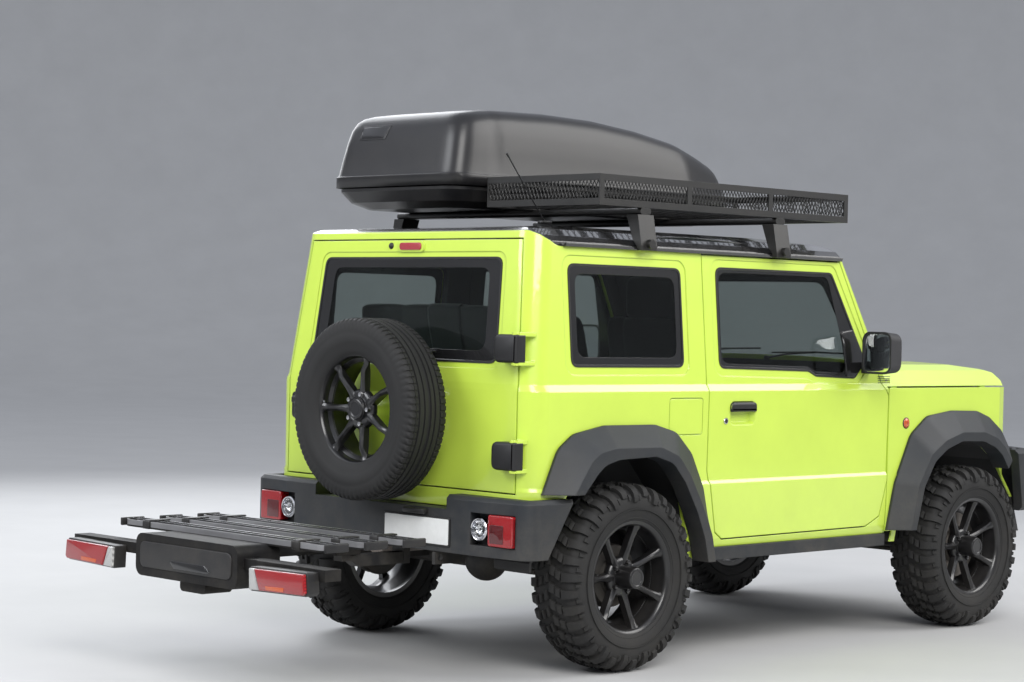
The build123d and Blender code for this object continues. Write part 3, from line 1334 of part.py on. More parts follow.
pieces = {
    "body_shell": body_shell, "roof_panel": roof_panel, "quarter_windows": quarter_windows,
    "tailgate": tailgate, "tailgate_window": tailgate_window, "windscreen": windscreen,
    "spare_tyre": spare_tyre, "spare_rim": spare_rim, "bonnet": bonnet,
    "front_fenders": front_fenders, "grille": grille, "headlamps": headlamps,
    "front_bumper": front_bumper, "rear_bumper": rear_bumper, "tail_lamps": tail_lamps,
    "arch_flares": arch_flares, "sill_covers": sill_covers, "frame_rails": frame_rails,
    "rear_axle": rear_axle, "front_axle": front_axle, "coil_springs": coil_springs,
    "dampers": dampers, "suspension_links": suspension_links, "engine": engine,
    "propshafts": propshafts, "fuel_tank": fuel_tank, "exhaust": exhaust,
    "dashboard": dashboard, "steering_wheel": steering_wheel, "front_seats": front_seats,
    "rear_seat": rear_seat, "roof_bars": roof_bars, "roof_basket": roof_basket,
    "basket_mesh": basket_mesh, "roof_box_base": roof_box_base, "roof_box_lid": roof_box_lid, "carrier": carrier,
    "carrier_lamps": carrier_lamps, "tie_rod": tie_rod,
}
for name in ("left", "right"):
    pieces[f"door_{name}"] = doors[name]
    pieces[f"door_window_{name}"] = door_windows[name]
    pieces[f"mirror_{name}"] = mirrors[name]
    pieces[f"knuckle_{name}"] = knuckles[name]
    for end in ("front", "rear"):
        pieces[f"tyre_{end}_{name}"] = tyres[end, name]
        pieces[f"rim_{end}_{name}"] = rims[end, name]

for name, piece in pieces.items():
    piece.part = piece.part.moved(Location((-MID_X, 0, 0)))
    piece.part.label = name
    export_step(piece.part, f"parts/{name}.step")
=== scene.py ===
"""Looks of the lifted off-road 4x4: paint, tyres, trim, roof gear, seats and stage.

Metres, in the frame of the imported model: X forward, Y to the car's left, Z up.
Places are given from the rear axle with at(x, y, z).
"""

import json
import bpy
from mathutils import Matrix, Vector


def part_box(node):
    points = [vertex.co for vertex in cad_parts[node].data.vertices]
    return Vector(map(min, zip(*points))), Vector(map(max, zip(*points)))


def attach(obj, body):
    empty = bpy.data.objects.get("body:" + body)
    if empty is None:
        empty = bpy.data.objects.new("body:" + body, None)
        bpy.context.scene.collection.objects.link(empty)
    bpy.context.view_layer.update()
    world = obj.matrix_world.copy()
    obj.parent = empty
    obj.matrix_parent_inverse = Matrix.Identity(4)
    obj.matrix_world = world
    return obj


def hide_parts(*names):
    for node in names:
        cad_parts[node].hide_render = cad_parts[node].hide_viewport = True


bl_info = {
    "name": "Off-road 4x4 dressing",
    "version": (1, 0, 0),
    "blender": (4, 5, 0),
    "location": "View3D > Sidebar > Off-road",
    "description": "Paint, tyres, trim, roof gear and seats for the off-road car",
    "category": "Add Mesh",
}

from math import cos, hypot, pi, radians, sin, sqrt

import bmesh
import bpy
from bpy.props import FloatProperty, FloatVectorProperty, IntProperty, PointerProperty
from mathutils import Matrix, Vector

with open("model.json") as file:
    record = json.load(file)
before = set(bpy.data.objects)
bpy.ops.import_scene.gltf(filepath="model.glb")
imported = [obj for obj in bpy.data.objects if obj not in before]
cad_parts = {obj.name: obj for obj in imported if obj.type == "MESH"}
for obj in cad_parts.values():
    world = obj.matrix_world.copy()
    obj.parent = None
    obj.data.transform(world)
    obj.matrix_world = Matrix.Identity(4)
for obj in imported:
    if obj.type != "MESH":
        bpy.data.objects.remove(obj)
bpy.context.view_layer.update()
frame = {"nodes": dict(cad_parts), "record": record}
SIDES = {"left": 1, "right": -1}
ORIGIN, FORWARD, REARWARD, UPWARD = (0, 0, 0), (1, 0, 0), (-1, 0, 0), (0, 0, 1)
ALONG_AXLE = (0, 1, 0)


def middle(node):
    """Centre of a CAD node's box."""
    low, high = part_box(node)
    return (low + high) / 2


AXLE_X = middle("tyre_rear_left").x
WHEELBASE = middle("tyre_front_left").x - AXLE_X
TYRE_LOW, TYRE_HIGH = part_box("tyre_rear_left")
TYRE_R = (TYRE_HIGH.x - TYRE_LOW.x) / 2
TYRE_W = TYRE_HIGH.y - TYRE_LOW.y
HALF_WIDTH = 0.7375
# Height, half width and rear face of the cabin at two levels
BELT = (1.085, 0.722, -0.499)
EAVES = (1.712, 0.666, -0.428)


def at(x, y, z):
    """Point given from the rear axle, on the ground's level and the car's middle plane."""
    return Vector((AXLE_X + x, y, z))


def lerp(a, b, t):
    return a + (b - a) * t


# Outlines

def rect(u0, v0, u1, v1):
    return (u0, v0), (u1, v0), (u1, v1), (u0, v1)


def centred(u, v, half_u, half_v):
    return rect(u - half_u, v - half_v, u + half_u, v + half_v)


def grown(points, reach):
    """Outline moved outwards by reach, square to its edges, or inwards where it is negative."""
    middle_u = sum(u for u, _ in points) / len(points)
    middle_v = sum(v for _, v in points) / len(points)
    inset = -reach
    moved = []
    for k, (u, v) in enumerate(points):
        (u0, v0), (u1, v1) = points[k - 1], points[(k + 1) % len(points)]
        a = Vector((u - u0, v - v0)).normalized()
        b = Vector((u1 - u, v1 - v)).normalized()
        normal = Vector((-(a.y + b.y), a.x + b.x))
        if normal.length < 1e-9:
            moved.append((u, v))
            continue
        normal.normalize()
        if normal.dot(Vector((middle_u - u, middle_v - v))) < 0:
            normal.negate()
        scale = 1 / max(0.5, sqrt(max(0.0, (1 + a.dot(b)) / 2)))
        moved.append((u + normal.x * inset * scale, v + normal.y * inset * scale))
    return moved


def rounded(points, radius, steps=5):
    """Closed outline with every corner rounded; radius may be a list."""
    count = len(points)
    radii = radius if isinstance(radius, (list, tuple)) else [radius] * count
    made = []
    for k, (p, r) in enumerate(zip(points, radii)):
        corner = Vector(p)
        before, after = Vector(points[k - 1]) - corner, Vector(points[(k + 1) % count]) - corner
        angle = before.angle(after)
        reach = min(r / max(1e-6, sin(angle / 2) / cos(angle / 2)) if angle < pi - 1e-3 else 0,
                    before.length * 0.49, after.length * 0.49)
        start, end = corner + before.normalized() * reach, corner + after.normalized() * reach
        for s in range(steps + 1):
            t = s / steps
            q = start * (1 - t) ** 2 + corner * 2 * t * (1 - t) + end * t ** 2
            made.append((q.x, q.y))
    return made


def divided(outline, longest):
    """Closed outline with no edge over a length."""
    made = []
    for p, q in zip(outline, outline[1:] + outline[:1]):
        parts = max(1, round(hypot(q[0] - p[0], q[1] - p[1]) / longest))
        made += [(lerp(p[0], q[0], k / parts), lerp(p[1], q[1], k / parts)) for k in range(parts)]
    return made


def curve_through(points, steps):
    """Points of a smooth curve through the given ones, steps to each span."""
    points = [Vector(p) for p in points]
    ends = [points[0] * 2 - points[1]] + points + [points[-1] * 2 - points[-2]]
    made = []
    for k in range(1, len(ends) - 2):
        a, b, c, d = ends[k - 1:k + 3]
        for s in range(steps):
            t = s / steps
            made.append(0.5 * (b * 2 + (c - a) * t + (a * 2 - b * 5 + c * 4 - d) * t ** 2
                               + (b * 3 - a - c * 3 + d) * t ** 3))
    return made + [points[-1]]


# Surfaces, as functions that give a point proud of them by a rise

SCREEN_FOOT, SCREEN_HEAD, SCREEN_BOW = (1.700, 1.120), (1.440, 1.600), 0.050


def body_half(z):
    """Half width of the cabin at a height above the belt."""
    return lerp(BELT[1], EAVES[1], (z - BELT[0]) / (EAVES[0] - BELT[0]))


def body_rear(z):
    """Place of the cabin's rear face at a height above the belt."""
    return lerp(BELT[2], EAVES[2], (z - BELT[0]) / (EAVES[0] - BELT[0]))


def side_skin(hand):
    return lambda x, z, rise: at(x, hand * (body_half(z) + rise), z)


def rear_skin(y, z, rise):
    return at(body_rear(z) - rise, y, z)


def screen_skin(y, up, rise):
    slope = Vector((SCREEN_HEAD[0] - SCREEN_FOOT[0], 0, SCREEN_HEAD[1] - SCREEN_FOOT[1])).normalized()
    outward = Vector((slope.z, 0, -slope.x))
    bow = SCREEN_BOW * (y / (HALF_WIDTH + 0.06)) ** 2
    return at(SCREEN_FOOT[0], y, SCREEN_FOOT[1]) + slope * up + outward * (rise - bow)


def flat(x, out=-1, hand=1):
    """Upright face across the car, looking rearward, or forward where out is 1."""
    return lambda y, z, rise: at(x + out * rise, hand * y, z)


class Form:
    """A mesh under construction, with the material index that its next faces take."""

    def __init__(self):
        self.bm = bmesh.new()
        self.tone = 0

    def face(self, verts):
        self.bm.faces.new(verts).material_index = self.tone

    def rings(self, rings, closed=True, caps=True, loop=False):
        """Skin through rings of points with equal counts; loop joins the last to the first."""
        rows = [[self.bm.verts.new(p) for p in ring] for ring in rings]
        count = len(rows[0])
        for low, high in list(zip(rows, rows[1:])) + ([(rows[-1], rows[0])] if loop else []):
            for i in range(count if closed else count - 1):
                j = (i + 1) % count
                self.face((low[i], low[j], high[j], high[i]))
        if caps and not loop:
            self.face(rows[0][::-1])
            self.face(rows[-1])

    def block(self, centre, size, bevel=0.003, steps=2):
        """Box with rounded edges."""
        made = bmesh.ops.create_cube(self.bm, size=1)["verts"]
        for v in made:
            v.co = Vector((v.co.x * size[0], v.co.y * size[1], v.co.z * size[2]))
        edges = list(dict.fromkeys(e for v in made for e in v.link_edges))
        done = bmesh.ops.bevel(self.bm, geom=edges, offset=min(bevel, min(size) * 0.45),
                               segments=steps, affect="EDGES", profile=0.5)
        made = list(dict.fromkeys(v for f in done["faces"] for v in f.verts))
        for f in {f for v in made for f in v.link_faces}:
            f.material_index = self.tone
        for v in made:
            v.co = v.co + Vector(centre)

    def lathe(self, profile, centre, axis, steps=48, closed=False):
        """Revolves (radius, along) points about an axis through centre."""
        axis = Vector(axis).normalized()
        across = axis.orthogonal().normalized()
        up = axis.cross(across)
        rings = []
        for k in range(steps):
            a = 2 * pi * k / steps
            out = across * cos(a) + up * sin(a)
            rings.append([Vector(centre) + out * r + axis * w for r, w in profile])
        self.rings(rings, closed=closed, caps=False, loop=True)

    def tube(self, points, radius, sides=8, caps=True):
        """Round bar along a line of points."""
        points = [Vector(p) for p in points]
        rings = []
        side = None
        for k, p in enumerate(points):
            heading = (points[min(k + 1, len(points) - 1)] - points[max(k - 1, 0)]).normalized()
            side = side or heading.orthogonal().normalized()
            side = (side - heading * side.dot(heading)).normalized()
            up = heading.cross(side)
            rings.append([p + (side * cos(2 * pi * s / sides) + up * sin(2 * pi * s / sides)) * radius
                          for s in range(sides)])
        self.rings(rings, caps=caps)

    def band(self, surface, outer, inner, low, high):
        """Ring on a surface between two outlines with equal counts, from low to high off it."""
        self.rings([[surface(u, v, rise) for u, v in outline]
                    for outline, rise in ((outer, low), (outer, high), (inner, high), (inner, low))],
                   loop=True, caps=False)

    def patch(self, surface, outline, low, high, ease):
        """Outline on a surface, thickened from low to high, its outer edge eased."""
        levels = [(0.0, low), (0.0, high - ease)]
        levels += [(ease * (1 - cos(a)), high - ease + ease * sin(a)) for a in (pi / 6, pi / 3, pi / 2)]
        self.rings([[surface(u, v, rise) for u, v in grown(outline, -inset)] for inset, rise in levels])

    def layers(self, steps, *layers):
        """Patches, each with the next material: surface, outline, corner radius, low, high and ease."""
        for tone, (surface, outline, radius, *levels) in enumerate(layers):
            self.tone = tone
            self.patch(surface, rounded(outline, radius, steps), *levels)

    def mesh(self, name, weld=1e-6, turn_out=True):
        """Finished mesh: points closer than weld are joined, and faces turned outward."""
        if weld:
            bmesh.ops.remove_doubles(self.bm, verts=self.bm.verts, dist=weld)
        if turn_out:
            bmesh.ops.recalc_face_normals(self.bm, faces=self.bm.faces)
        mesh = bpy.data.meshes.new(name)
        self.bm.to_mesh(mesh)
        self.bm.free()
        return mesh

    def add(self, name, finishes, body, slot, swaps=(), angle=38, smooth=0):
        """Makes the object, gives it its finishes and lets it ride on its body."""
        return dress(bpy.data.objects.new(name, self.mesh(name)), finishes, body, swaps, angle, smooth)


def dress(piece, finishes, body, swaps=(), angle=38, smooth=0):
    """Links a piece, shades it, lets it ride on its body and hides the CAD parts it replaces."""
    bpy.context.scene.collection.objects.link(piece)
    mesh = piece.data
    if not mesh.materials:
        for finish in [finishes] if isinstance(finishes, str) else finishes:
            mesh.materials.append(FINISHES[finish])
    mesh.shade_smooth()
    mesh.set_sharp_from_angle(angle=radians(angle))
    if smooth:
        modifier = piece.modifiers.new("smooth", "SUBSURF")
        modifier.levels = modifier.render_levels = smooth
    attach(piece, body)
    if swaps:
        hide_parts(*([swaps] if isinstance(swaps, str) else swaps))
    return piece


# Shader nodes

def feed(tree, node, values):
    """Sets a node's inputs by name or number: sockets are linked, other values set on the input."""
    for label, value in values.items():
        if hasattr(value, "is_linked"):
            tree.links.new(value, node.inputs[label])
        elif value is not None:
            node.inputs[label].default_value = value
    return node


def new_node(tree, kind, values, **settings):
    node = tree.nodes.new(f"ShaderNode{kind}")
    for label, value in settings.items():
        setattr(node, label, value)
    return feed(tree, node, values)


def math_node(tree, operation, a, b=None, clamp=False):
    return new_node(tree, "Math", {0: a, 1: b}, operation=operation, use_clamp=clamp).outputs[0]


def mix_colour(tree, factor, a, b, blend="MIX"):
    """Colour mix; 6 and 7 are the node's colour inputs and 2 its colour output."""
    return new_node(tree, "Mix", {0: factor, 6: a, 7: b}, data_type="RGBA", blend_type=blend).outputs[2]


def noise(tree, vector, scale, detail=4.0, rough=0.6):
    return new_node(tree, "TexNoise", {"Detail": detail, "Roughness": rough, "Vector": vector,
                                       "Scale": scale}).outputs["Fac"]


def spread(tree, value, low, high, to_low=0.0, to_high=1.0):
    """Map Range from low..high to to_low..to_high, clamped."""
    return new_node(tree, "MapRange", {"Value": value, "From Min": low, "From Max": high, "To Min": to_low,
                                       "To Max": to_high}).outputs[0]


def waves(tree, direction, place, **values):
    return new_node(tree, "TexWave", {"Vector": place, **values}, bands_direction=direction).outputs["Fac"]


def bumped(tree, height, strength, distance, normal=None):
    return new_node(tree, "Bump", {"Height": height, "Strength": strength, "Distance": distance,
                                   "Normal": normal}).outputs["Normal"]


def object_place(tree):
    return tree.nodes.new("ShaderNodeTexCoord").outputs["Object"]


def split_place(tree):
    return new_node(tree, "SeparateXYZ", {0: object_place(tree)}).outputs


def group_start(name, inputs, outputs):
    """New node group; an input with a number is a float and any other is a colour."""
    group = bpy.data.node_groups.new(name, "ShaderNodeTree")
    for label, value in inputs.items():
        kind = "Float" if isinstance(value, float) else "Color"
        socket = group.interface.new_socket(name=label, in_out="INPUT", socket_type=f"NodeSocket{kind}")
        if value is not None:
            socket.default_value = value
    for label, kind in outputs.items():
        group.interface.new_socket(name=label, in_out="OUTPUT", socket_type=f"NodeSocket{kind}")
    return group, group.nodes.new("NodeGroupInput").outputs, group.nodes.new("NodeGroupOutput")


def make_dust_group():
    """Road dust: a tint that gathers low on the car and in patches."""
    group, given, out = group_start(
        "Road dust", {"Color": None, "Dust Color": (0.2, 0.17, 0.13, 1), "Amount": 0.3, "Low": 0.3, "High": 0.9,
                      "Roughness": 0.4}, {"Color": "Color", "Roughness": "Float"})
    place = object_place(group)
    height = new_node(group, "SeparateXYZ", {0: place}).outputs["Z"]
    low = spread(group, height, given["Low"], given["High"], 1.0, 0.0)
    patches = spread(group, noise(group, place, 6.0, 6.0, 0.7), 0.35, 0.75)
    fine = spread(group, noise(group, place, 90.0, 3.0, 0.7), 0.3, 0.8, 0.5, 1.0)
    mask = math_node(group, "MULTIPLY", math_node(group, "MULTIPLY", low, patches), fine)
    everywhere = math_node(group, "MULTIPLY", patches, 0.12)
    mask = math_node(group, "MULTIPLY", math_node(group, "ADD", mask, everywhere), given["Amount"], True)
    added = math_node(group, "MULTIPLY", mask, 0.45)
    feed(group, out, {"Color": mix_colour(group, mask, given["Color"], given["Dust Color"]),
                      "Roughness": math_node(group, "ADD", given["Roughness"], added, True)})
    return group


def make_grain_group():
    """Fine moulded grain with a slow change of tone."""
    group, given, out = group_start("Moulded grain", {"Color": None, "Scale": 900.0, "Mottle": 0.2},
                                    {"Color": "Color", "Height": "Float"})
    place = object_place(group)
    cells = new_node(group, "TexVoronoi", {"Vector": place, "Scale": given["Scale"]})
    slow = spread(group, noise(group, place, 5.0, 5.0), 0.3, 0.7, -1.0, 1.0)
    shade = math_node(group, "ADD", math_node(group, "MULTIPLY", slow, given["Mottle"]), 1.0)
    pale = new_node(group, "CombineColor", {"Red": shade, "Green": shade, "Blue": shade}).outputs[0]
    feed(group, out, {"Color": mix_colour(group, 1.0, given["Color"], pale, "MULTIPLY"),
                      "Height": cells.outputs["Distance"]})
    return group


def make_weave_group():
    """Woven cloth: crossed threads as height and a little colour."""
    group, given, out = group_start(
        "Woven cloth", {"Color": None, "Thread": (0.1, 0.1, 0.11, 1), "Scale": 700.0},
        {"Color": "Color", "Height": "Float"})
    place = object_place(group)
    height = math_node(group, "MULTIPLY", *(waves(group, direction, place, Distortion=0.6, Detail=1.0,
                                                  Scale=given["Scale"]) for direction in ("X", "Z")))
    feed(group, out, {"Color": mix_colour(group, height, given["Color"], given["Thread"]), "Height": height})
    return group


def make_inside_group():
    """Mask of a painted panel's inner faces: those well inside the outline of the body, which take real liner and
    trim colour and painted shade in the door gaps.
    """
    group, given, out = group_start(
        "Inside of the body", {"Half Low": 0.700, "Half High": 0.700, "Rear": -9.0, "Front": 9.0, "Top": 9.0,
                               "Under": 0.0}, {"Mask": "Float"})
    place = split_place(group)
    half = spread(group, place["Z"], BELT[0], EAVES[0], given["Half Low"], given["Half High"])
    lean = spread(group, place["Z"], BELT[0], EAVES[0], 0.0, EAVES[2] - BELT[2])
    mask = math_node(group, "LESS_THAN", math_node(group, "ABSOLUTE", place["Y"]), half)
    for other in (math_node(group, "GREATER_THAN", place["X"], math_node(group, "ADD", given["Rear"], lean)),
                  math_node(group, "LESS_THAN", place["X"], given["Front"]),
                  math_node(group, "LESS_THAN", place["Z"], given["Top"])):
        mask = math_node(group, "MULTIPLY", mask, other)
    away = math_node(group, "ABSOLUTE", math_node(group, "SUBTRACT", place["X"], AXLE_X + WHEELBASE / 2))
    under = math_node(group, "MULTIPLY", math_node(group, "LESS_THAN", place["Z"], given["Under"]),
                      math_node(group, "GREATER_THAN", away, 1.2))
    feed(group, out, {"Mask": math_node(group, "MAXIMUM", mask, under)})
    return group


FINISHES = {}
GROUPS = {}
GRAIN_DEPTH = 0.0002
PAINT_ROUGHNESS, LINING_ROUGHNESS = 0.28, 0.62
# Dark colour of the panels' inner faces: real black liners, underseal and trim, and painted shade on the deep shut
# faces in the door gaps
LINING_AND_GAP_SHADE = (0.020, 0.020, 0.021)
SHINE = dict(coat=1.0, grain=2600.0, bump=0.02, mottle=0.03, dust=0.10, low=0.4, high=0.75, edge=0.006)
# Painted panels, with the limits within which their faces take the dark inner colour: real liner, trim and
# underseal, and painted shade deep in the door gaps
PAINTED = {
    "shell_paint": {"Half Low": 0.715, "Half High": 0.652, "Rear": AXLE_X - 0.4425, "Front": AXLE_X + 1.690,
                    "Top": 1.62, "Under": 0.50},
    "door_paint": {"Half Low": 0.690, "Half High": 0.640},
    "gate_paint": {"Half Low": 2.0, "Half High": 2.0, "Rear": AXLE_X - 0.472},
    "fender_paint": {"Half Low": 0.715, "Half High": 0.715, "Top": 1.06, "Under": 0.56},
    "bonnet_paint": {"Half Low": 0.672, "Half High": 0.672, "Front": AXLE_X + 2.56, "Top": 1.092},
}
# What each painted CAD node is finished with, in place of its slot
NODE_FINISH = {"body_shell": "shell_paint", "door_left": "door_paint", "door_right": "door_paint",
               "tailgate": "gate_paint", "front_fenders": "fender_paint", "bonnet": "bonnet_paint"}


def new_material(name):
    """New finish: its node tree and shader."""
    material = FINISHES[name] = bpy.data.materials.new(name)
    material.use_nodes = True
    return material.node_tree, material.node_tree.nodes["Principled BSDF"]


def place_group(tree, group, values):
    return new_node(tree, "Group", values, node_tree=GROUPS[group])


def colour4(colour):
    return (*colour, 1.0)


def solid_finish(name, colour, roughness, metallic=0.0, coat=0.0, grain=900.0, bump=0.1, mottle=0.12, dust=0.3,
                 low=0.2, high=0.8, edge=0.0, dust_colour=(0.16, 0.14, 0.11), inner_colour=None, inside=None):
    """Opaque finish: a base with grain, mottling, road dust and softly rounded edges.

    With inside, the faces within that outline take the inner colour and no coat; on the painted panels that colour
    is partly real liner, underseal and trim and partly painted shade on the deep shut faces in the door gaps.
    """
    tree, shader = new_material(name)
    base = colour4(colour)
    if inside:
        # Inner faces take the dark inner colour: real liner and trim, and painted shade on the deep shut faces in
        # the door gaps
        mask = place_group(tree, "inside", inside).outputs["Mask"]
        base = mix_colour(tree, mask, base, colour4(inner_colour))
        coat = math_node(tree, "MULTIPLY", math_node(tree, "SUBTRACT", 1.0, mask), coat)
    grained = place_group(tree, "grain", {"Color": base, "Scale": grain, "Mottle": mottle}).outputs
    dusty = place_group(tree, "dust", {"Color": grained["Color"], "Dust Color": colour4(dust_colour),
                                       "Amount": dust, "Low": low, "High": high, "Roughness": roughness}).outputs
    rough = dusty["Roughness"]
    if inside:
        rough = math_node(tree, "MAXIMUM", rough, math_node(tree, "MULTIPLY", mask, LINING_ROUGHNESS))
    soft = new_node(tree, "Bevel", {"Radius": edge}, samples=4).outputs["Normal"] if edge else None
    feed(tree, shader, {"Base Color": dusty["Color"], "Roughness": rough, "Metallic": metallic,
                        "Coat Weight": coat, "Coat Roughness": 0.05, "Coat Normal": soft,
                        "Normal": bumped(tree, grained["Height"], bump, GRAIN_DEPTH, soft)})


def glass_finish(name, tint):
    """Clear or tinted glass with faint smears in its gloss; it lets soft light and shadow rays through."""
    tree, shader = new_material(name)
    smear = spread(tree, noise(tree, object_place(tree), 14.0, 5.0), 0.45, 0.8, 0.0, 0.06)
    feed(tree, shader, {"Base Color": colour4(tint), "Roughness": smear, "Transmission Weight": 1.0, "IOR": 1.3})
    through = new_node(tree, "BsdfTransparent", {"Color": colour4(tint)}).outputs[0]
    path = tree.nodes.new("ShaderNodeLightPath").outputs
    either = math_node(tree, "MAXIMUM", path["Is Shadow Ray"], path["Is Diffuse Ray"])
    blend = new_node(tree, "MixShader", {0: either, 1: shader.outputs[0], 2: through})
    tree.links.new(blend.outputs[0], tree.nodes["Material Output"].inputs["Surface"])


def lens_finish(name, colour):
    """Lamp lens: coloured clear plastic with fine upright ribs behind its face."""
    tree, shader = new_material(name)
    ribs = waves(tree, "Y", object_place(tree), Scale=260.0)
    shade = mix_colour(tree, ribs, colour4(colour), colour4([c * 0.45 for c in colour]))
    feed(tree, shader, {"Base Color": shade, "Normal": bumped(tree, ribs, 0.25, 0.0005), "Roughness": 0.12,
                        "Coat Weight": 1.0, "Coat Roughness": 0.03})


def cloth_finish(name, colour, thread):
    """Seat cloth with threads that stand a little proud."""
    tree, shader = new_material(name)
    woven = place_group(tree, "weave", {"Color": colour4(colour), "Thread": colour4(thread)}).outputs
    feed(tree, shader, {"Base Color": woven["Color"], "Normal": bumped(tree, woven["Height"], 0.4, 0.0006),
                        "Roughness": 0.85, "Sheen Weight": 0.3})


def make_finishes():
    """Every material of the car, by the name of what it covers."""
    GROUPS.update(dust=make_dust_group(), grain=make_grain_group(), weave=make_weave_group(),
                  inside=make_inside_group())
    paint = bpy.context.scene.offroad_paint
    for name, inside in PAINTED.items():
        solid_finish(name, paint.body, PAINT_ROUGHNESS, **SHINE, inner_colour=LINING_AND_GAP_SHADE, inside=inside)
    solid_finish("roof_black", paint.roof, 0.22, coat=1.0, grain=2600.0, bump=0.02, mottle=0.05, dust=0.12,
                 low=1.5, high=1.8, edge=0.006)
    solid_finish("dark_plastic", paint.plastic, 0.52, grain=1100.0, bump=0.25, mottle=0.16, dust=0.35, low=0.4,
                 high=0.9, edge=0.006)
    solid_finish("black_gloss_plastic", (0.010, 0.010, 0.011), 0.16, coat=0.6, mottle=0.05, dust=0.1, edge=0.003)
    solid_finish("black_trim", (0.012, 0.012, 0.013), 0.4, mottle=0.1, dust=0.12, edge=0.003)
    solid_finish("rubber_seal", (0.008, 0.008, 0.008), 0.6, mottle=0.1, dust=0.15)
    solid_finish("tyre", bpy.context.scene.offroad_tyres.rubber, 0.72, grain=700.0, bump=0.3, mottle=0.25,
                 dust=0.3, low=-0.6, high=0.6, dust_colour=(0.085, 0.075, 0.06))
    solid_finish("rim_black", (0.008, 0.008, 0.009), 0.3, coat=0.35, mottle=0.1, dust=0.12, low=-0.3, high=0.3,
                 edge=0.002)
    solid_finish("brake_steel", (0.25, 0.23, 0.21), 0.42, metallic=1.0, mottle=0.3, dust=0.5, low=-0.3, high=0.3)
    solid_finish("chassis_black", (0.014, 0.014, 0.015), 0.5, mottle=0.3, dust=0.6, high=0.7, edge=0.003)
    solid_finish("spring_steel", (0.02, 0.02, 0.022), 0.4, mottle=0.2, dust=0.5, low=0.3, high=0.7)
    solid_finish("cast_iron", (0.10, 0.095, 0.09), 0.6, metallic=0.8, grain=400.0, bump=0.5, mottle=0.3, dust=0.5)
    solid_finish("exhaust_steel", (0.32, 0.28, 0.25), 0.42, metallic=1.0, mottle=0.35, dust=0.5)
    solid_finish("tank_plastic", (0.018, 0.018, 0.018), 0.55, mottle=0.2, dust=0.5)
    solid_finish("trim_plastic", (0.022, 0.022, 0.024), 0.6, bump=0.35, dust=0.05, edge=0.004)
    solid_finish("rack_black", (0.010, 0.010, 0.010), 0.42, grain=1500.0, bump=0.2, mottle=0.1, dust=0.12,
                 low=1.6, high=1.9, edge=0.002)
    solid_finish("box_shell", (0.010, 0.010, 0.0115), 0.34, grain=1300.0, bump=0.12, mottle=0.08, dust=0.12,
                 low=1.7, high=2.1)
    # Faces of the carrier below 0.5145 m take a near-black colour
    solid_finish("carrier_metal", (0.30, 0.30, 0.31), 0.4, metallic=0.6, grain=800.0, mottle=0.15, dust=0.4,
                 high=0.7, edge=0.002, inner_colour=(0.010, 0.010, 0.011),
                 inside={"Half Low": 9.0, "Half High": 9.0, "Top": 0.5145})
    solid_finish("carrier_black", (0.012, 0.012, 0.013), 0.42, bump=0.25, mottle=0.15, dust=0.35, high=0.7,
                 edge=0.003)
    solid_finish("bright_metal", (0.62, 0.62, 0.63), 0.22, metallic=1.0, mottle=0.08, dust=0.1)
    solid_finish("mirror_face", (0.85, 0.87, 0.88), 0.03, metallic=1.0, mottle=0.0, dust=0.02, bump=0.0)
    solid_finish("plate_white", (0.72, 0.73, 0.72), 0.4, mottle=0.06, low=0.4, high=0.7)
    solid_finish("reflector", (0.7, 0.7, 0.72), 0.12, metallic=1.0, mottle=0.1, dust=0.05)
    solid_finish("engine_grey", (0.16, 0.16, 0.16), 0.5, metallic=0.6, grain=300.0, bump=0.4, mottle=0.3)
    glass_finish("glass", (0.55, 0.60, 0.58))
    glass_finish("clear_lens", (0.97, 0.98, 0.98))
    for name, colour in (("red_lens", (0.42, 0.008, 0.012)), ("dark_red_lens", (0.12, 0.004, 0.006)),
                         ("stop_lens", (0.55, 0.05, 0.07)), ("orange_lens", (0.75, 0.12, 0.02)),
                         ("white_lens", (0.62, 0.62, 0.6))):
        lens_finish(name, colour)
    cloth_finish("seat_fabric", (0.018, 0.018, 0.020), (0.06, 0.06, 0.065))


def colour_value(name, description, default):
    return FloatVectorProperty(name=name, description=description, subtype="COLOR", size=3, default=default)


def length_value(name, description, default):
    return FloatProperty(name=name, description=description, subtype="DISTANCE", unit="LENGTH", default=default)


class OffroadPaint(bpy.types.PropertyGroup):
    """Colours of the body and its plastic parts."""
    body: colour_value("Body colour", "Colour of the painted panels", (0.58, 0.77, 0.085))
    roof: colour_value("Roof colour", "Colour of the roof panel", (0.008, 0.008, 0.009))
    plastic: colour_value("Plastic colour", "Colour of flares and bumpers", (0.015, 0.018, 0.022))


class OffroadTyres(bpy.types.PropertyGroup):
    """Sizes of the mud tyres' tread."""
    rubber: colour_value("Rubber colour", "Colour of the tyres", (0.011, 0.011, 0.0112))
    pitches: IntProperty(name="Pitches", description="Blocks round the tread", default=34, min=16, max=60)
    lug_height: length_value("Lug height", "Height of the tread blocks", 0.015)


class OffroadRoof(bpy.types.PropertyGroup):
    """Sizes of the basket's mesh."""
    mesh_cell: length_value("Mesh width", "Width of a cell in the basket's sides", 0.019)
    mesh_wire: length_value("Mesh strand", "Width of the strands of the mesh", 0.004)


class OffroadStage(bpy.types.PropertyGroup):
    """The floor and the light."""
    floor: colour_value("Floor colour", "Colour of the studio floor", (0.52, 0.52, 0.515))
    light: FloatProperty(name="Key light", description="Power of the key light in watts", default=620.0)
    sky: FloatProperty(name="Sky", description="Strength of the surrounding light", default=0.75)


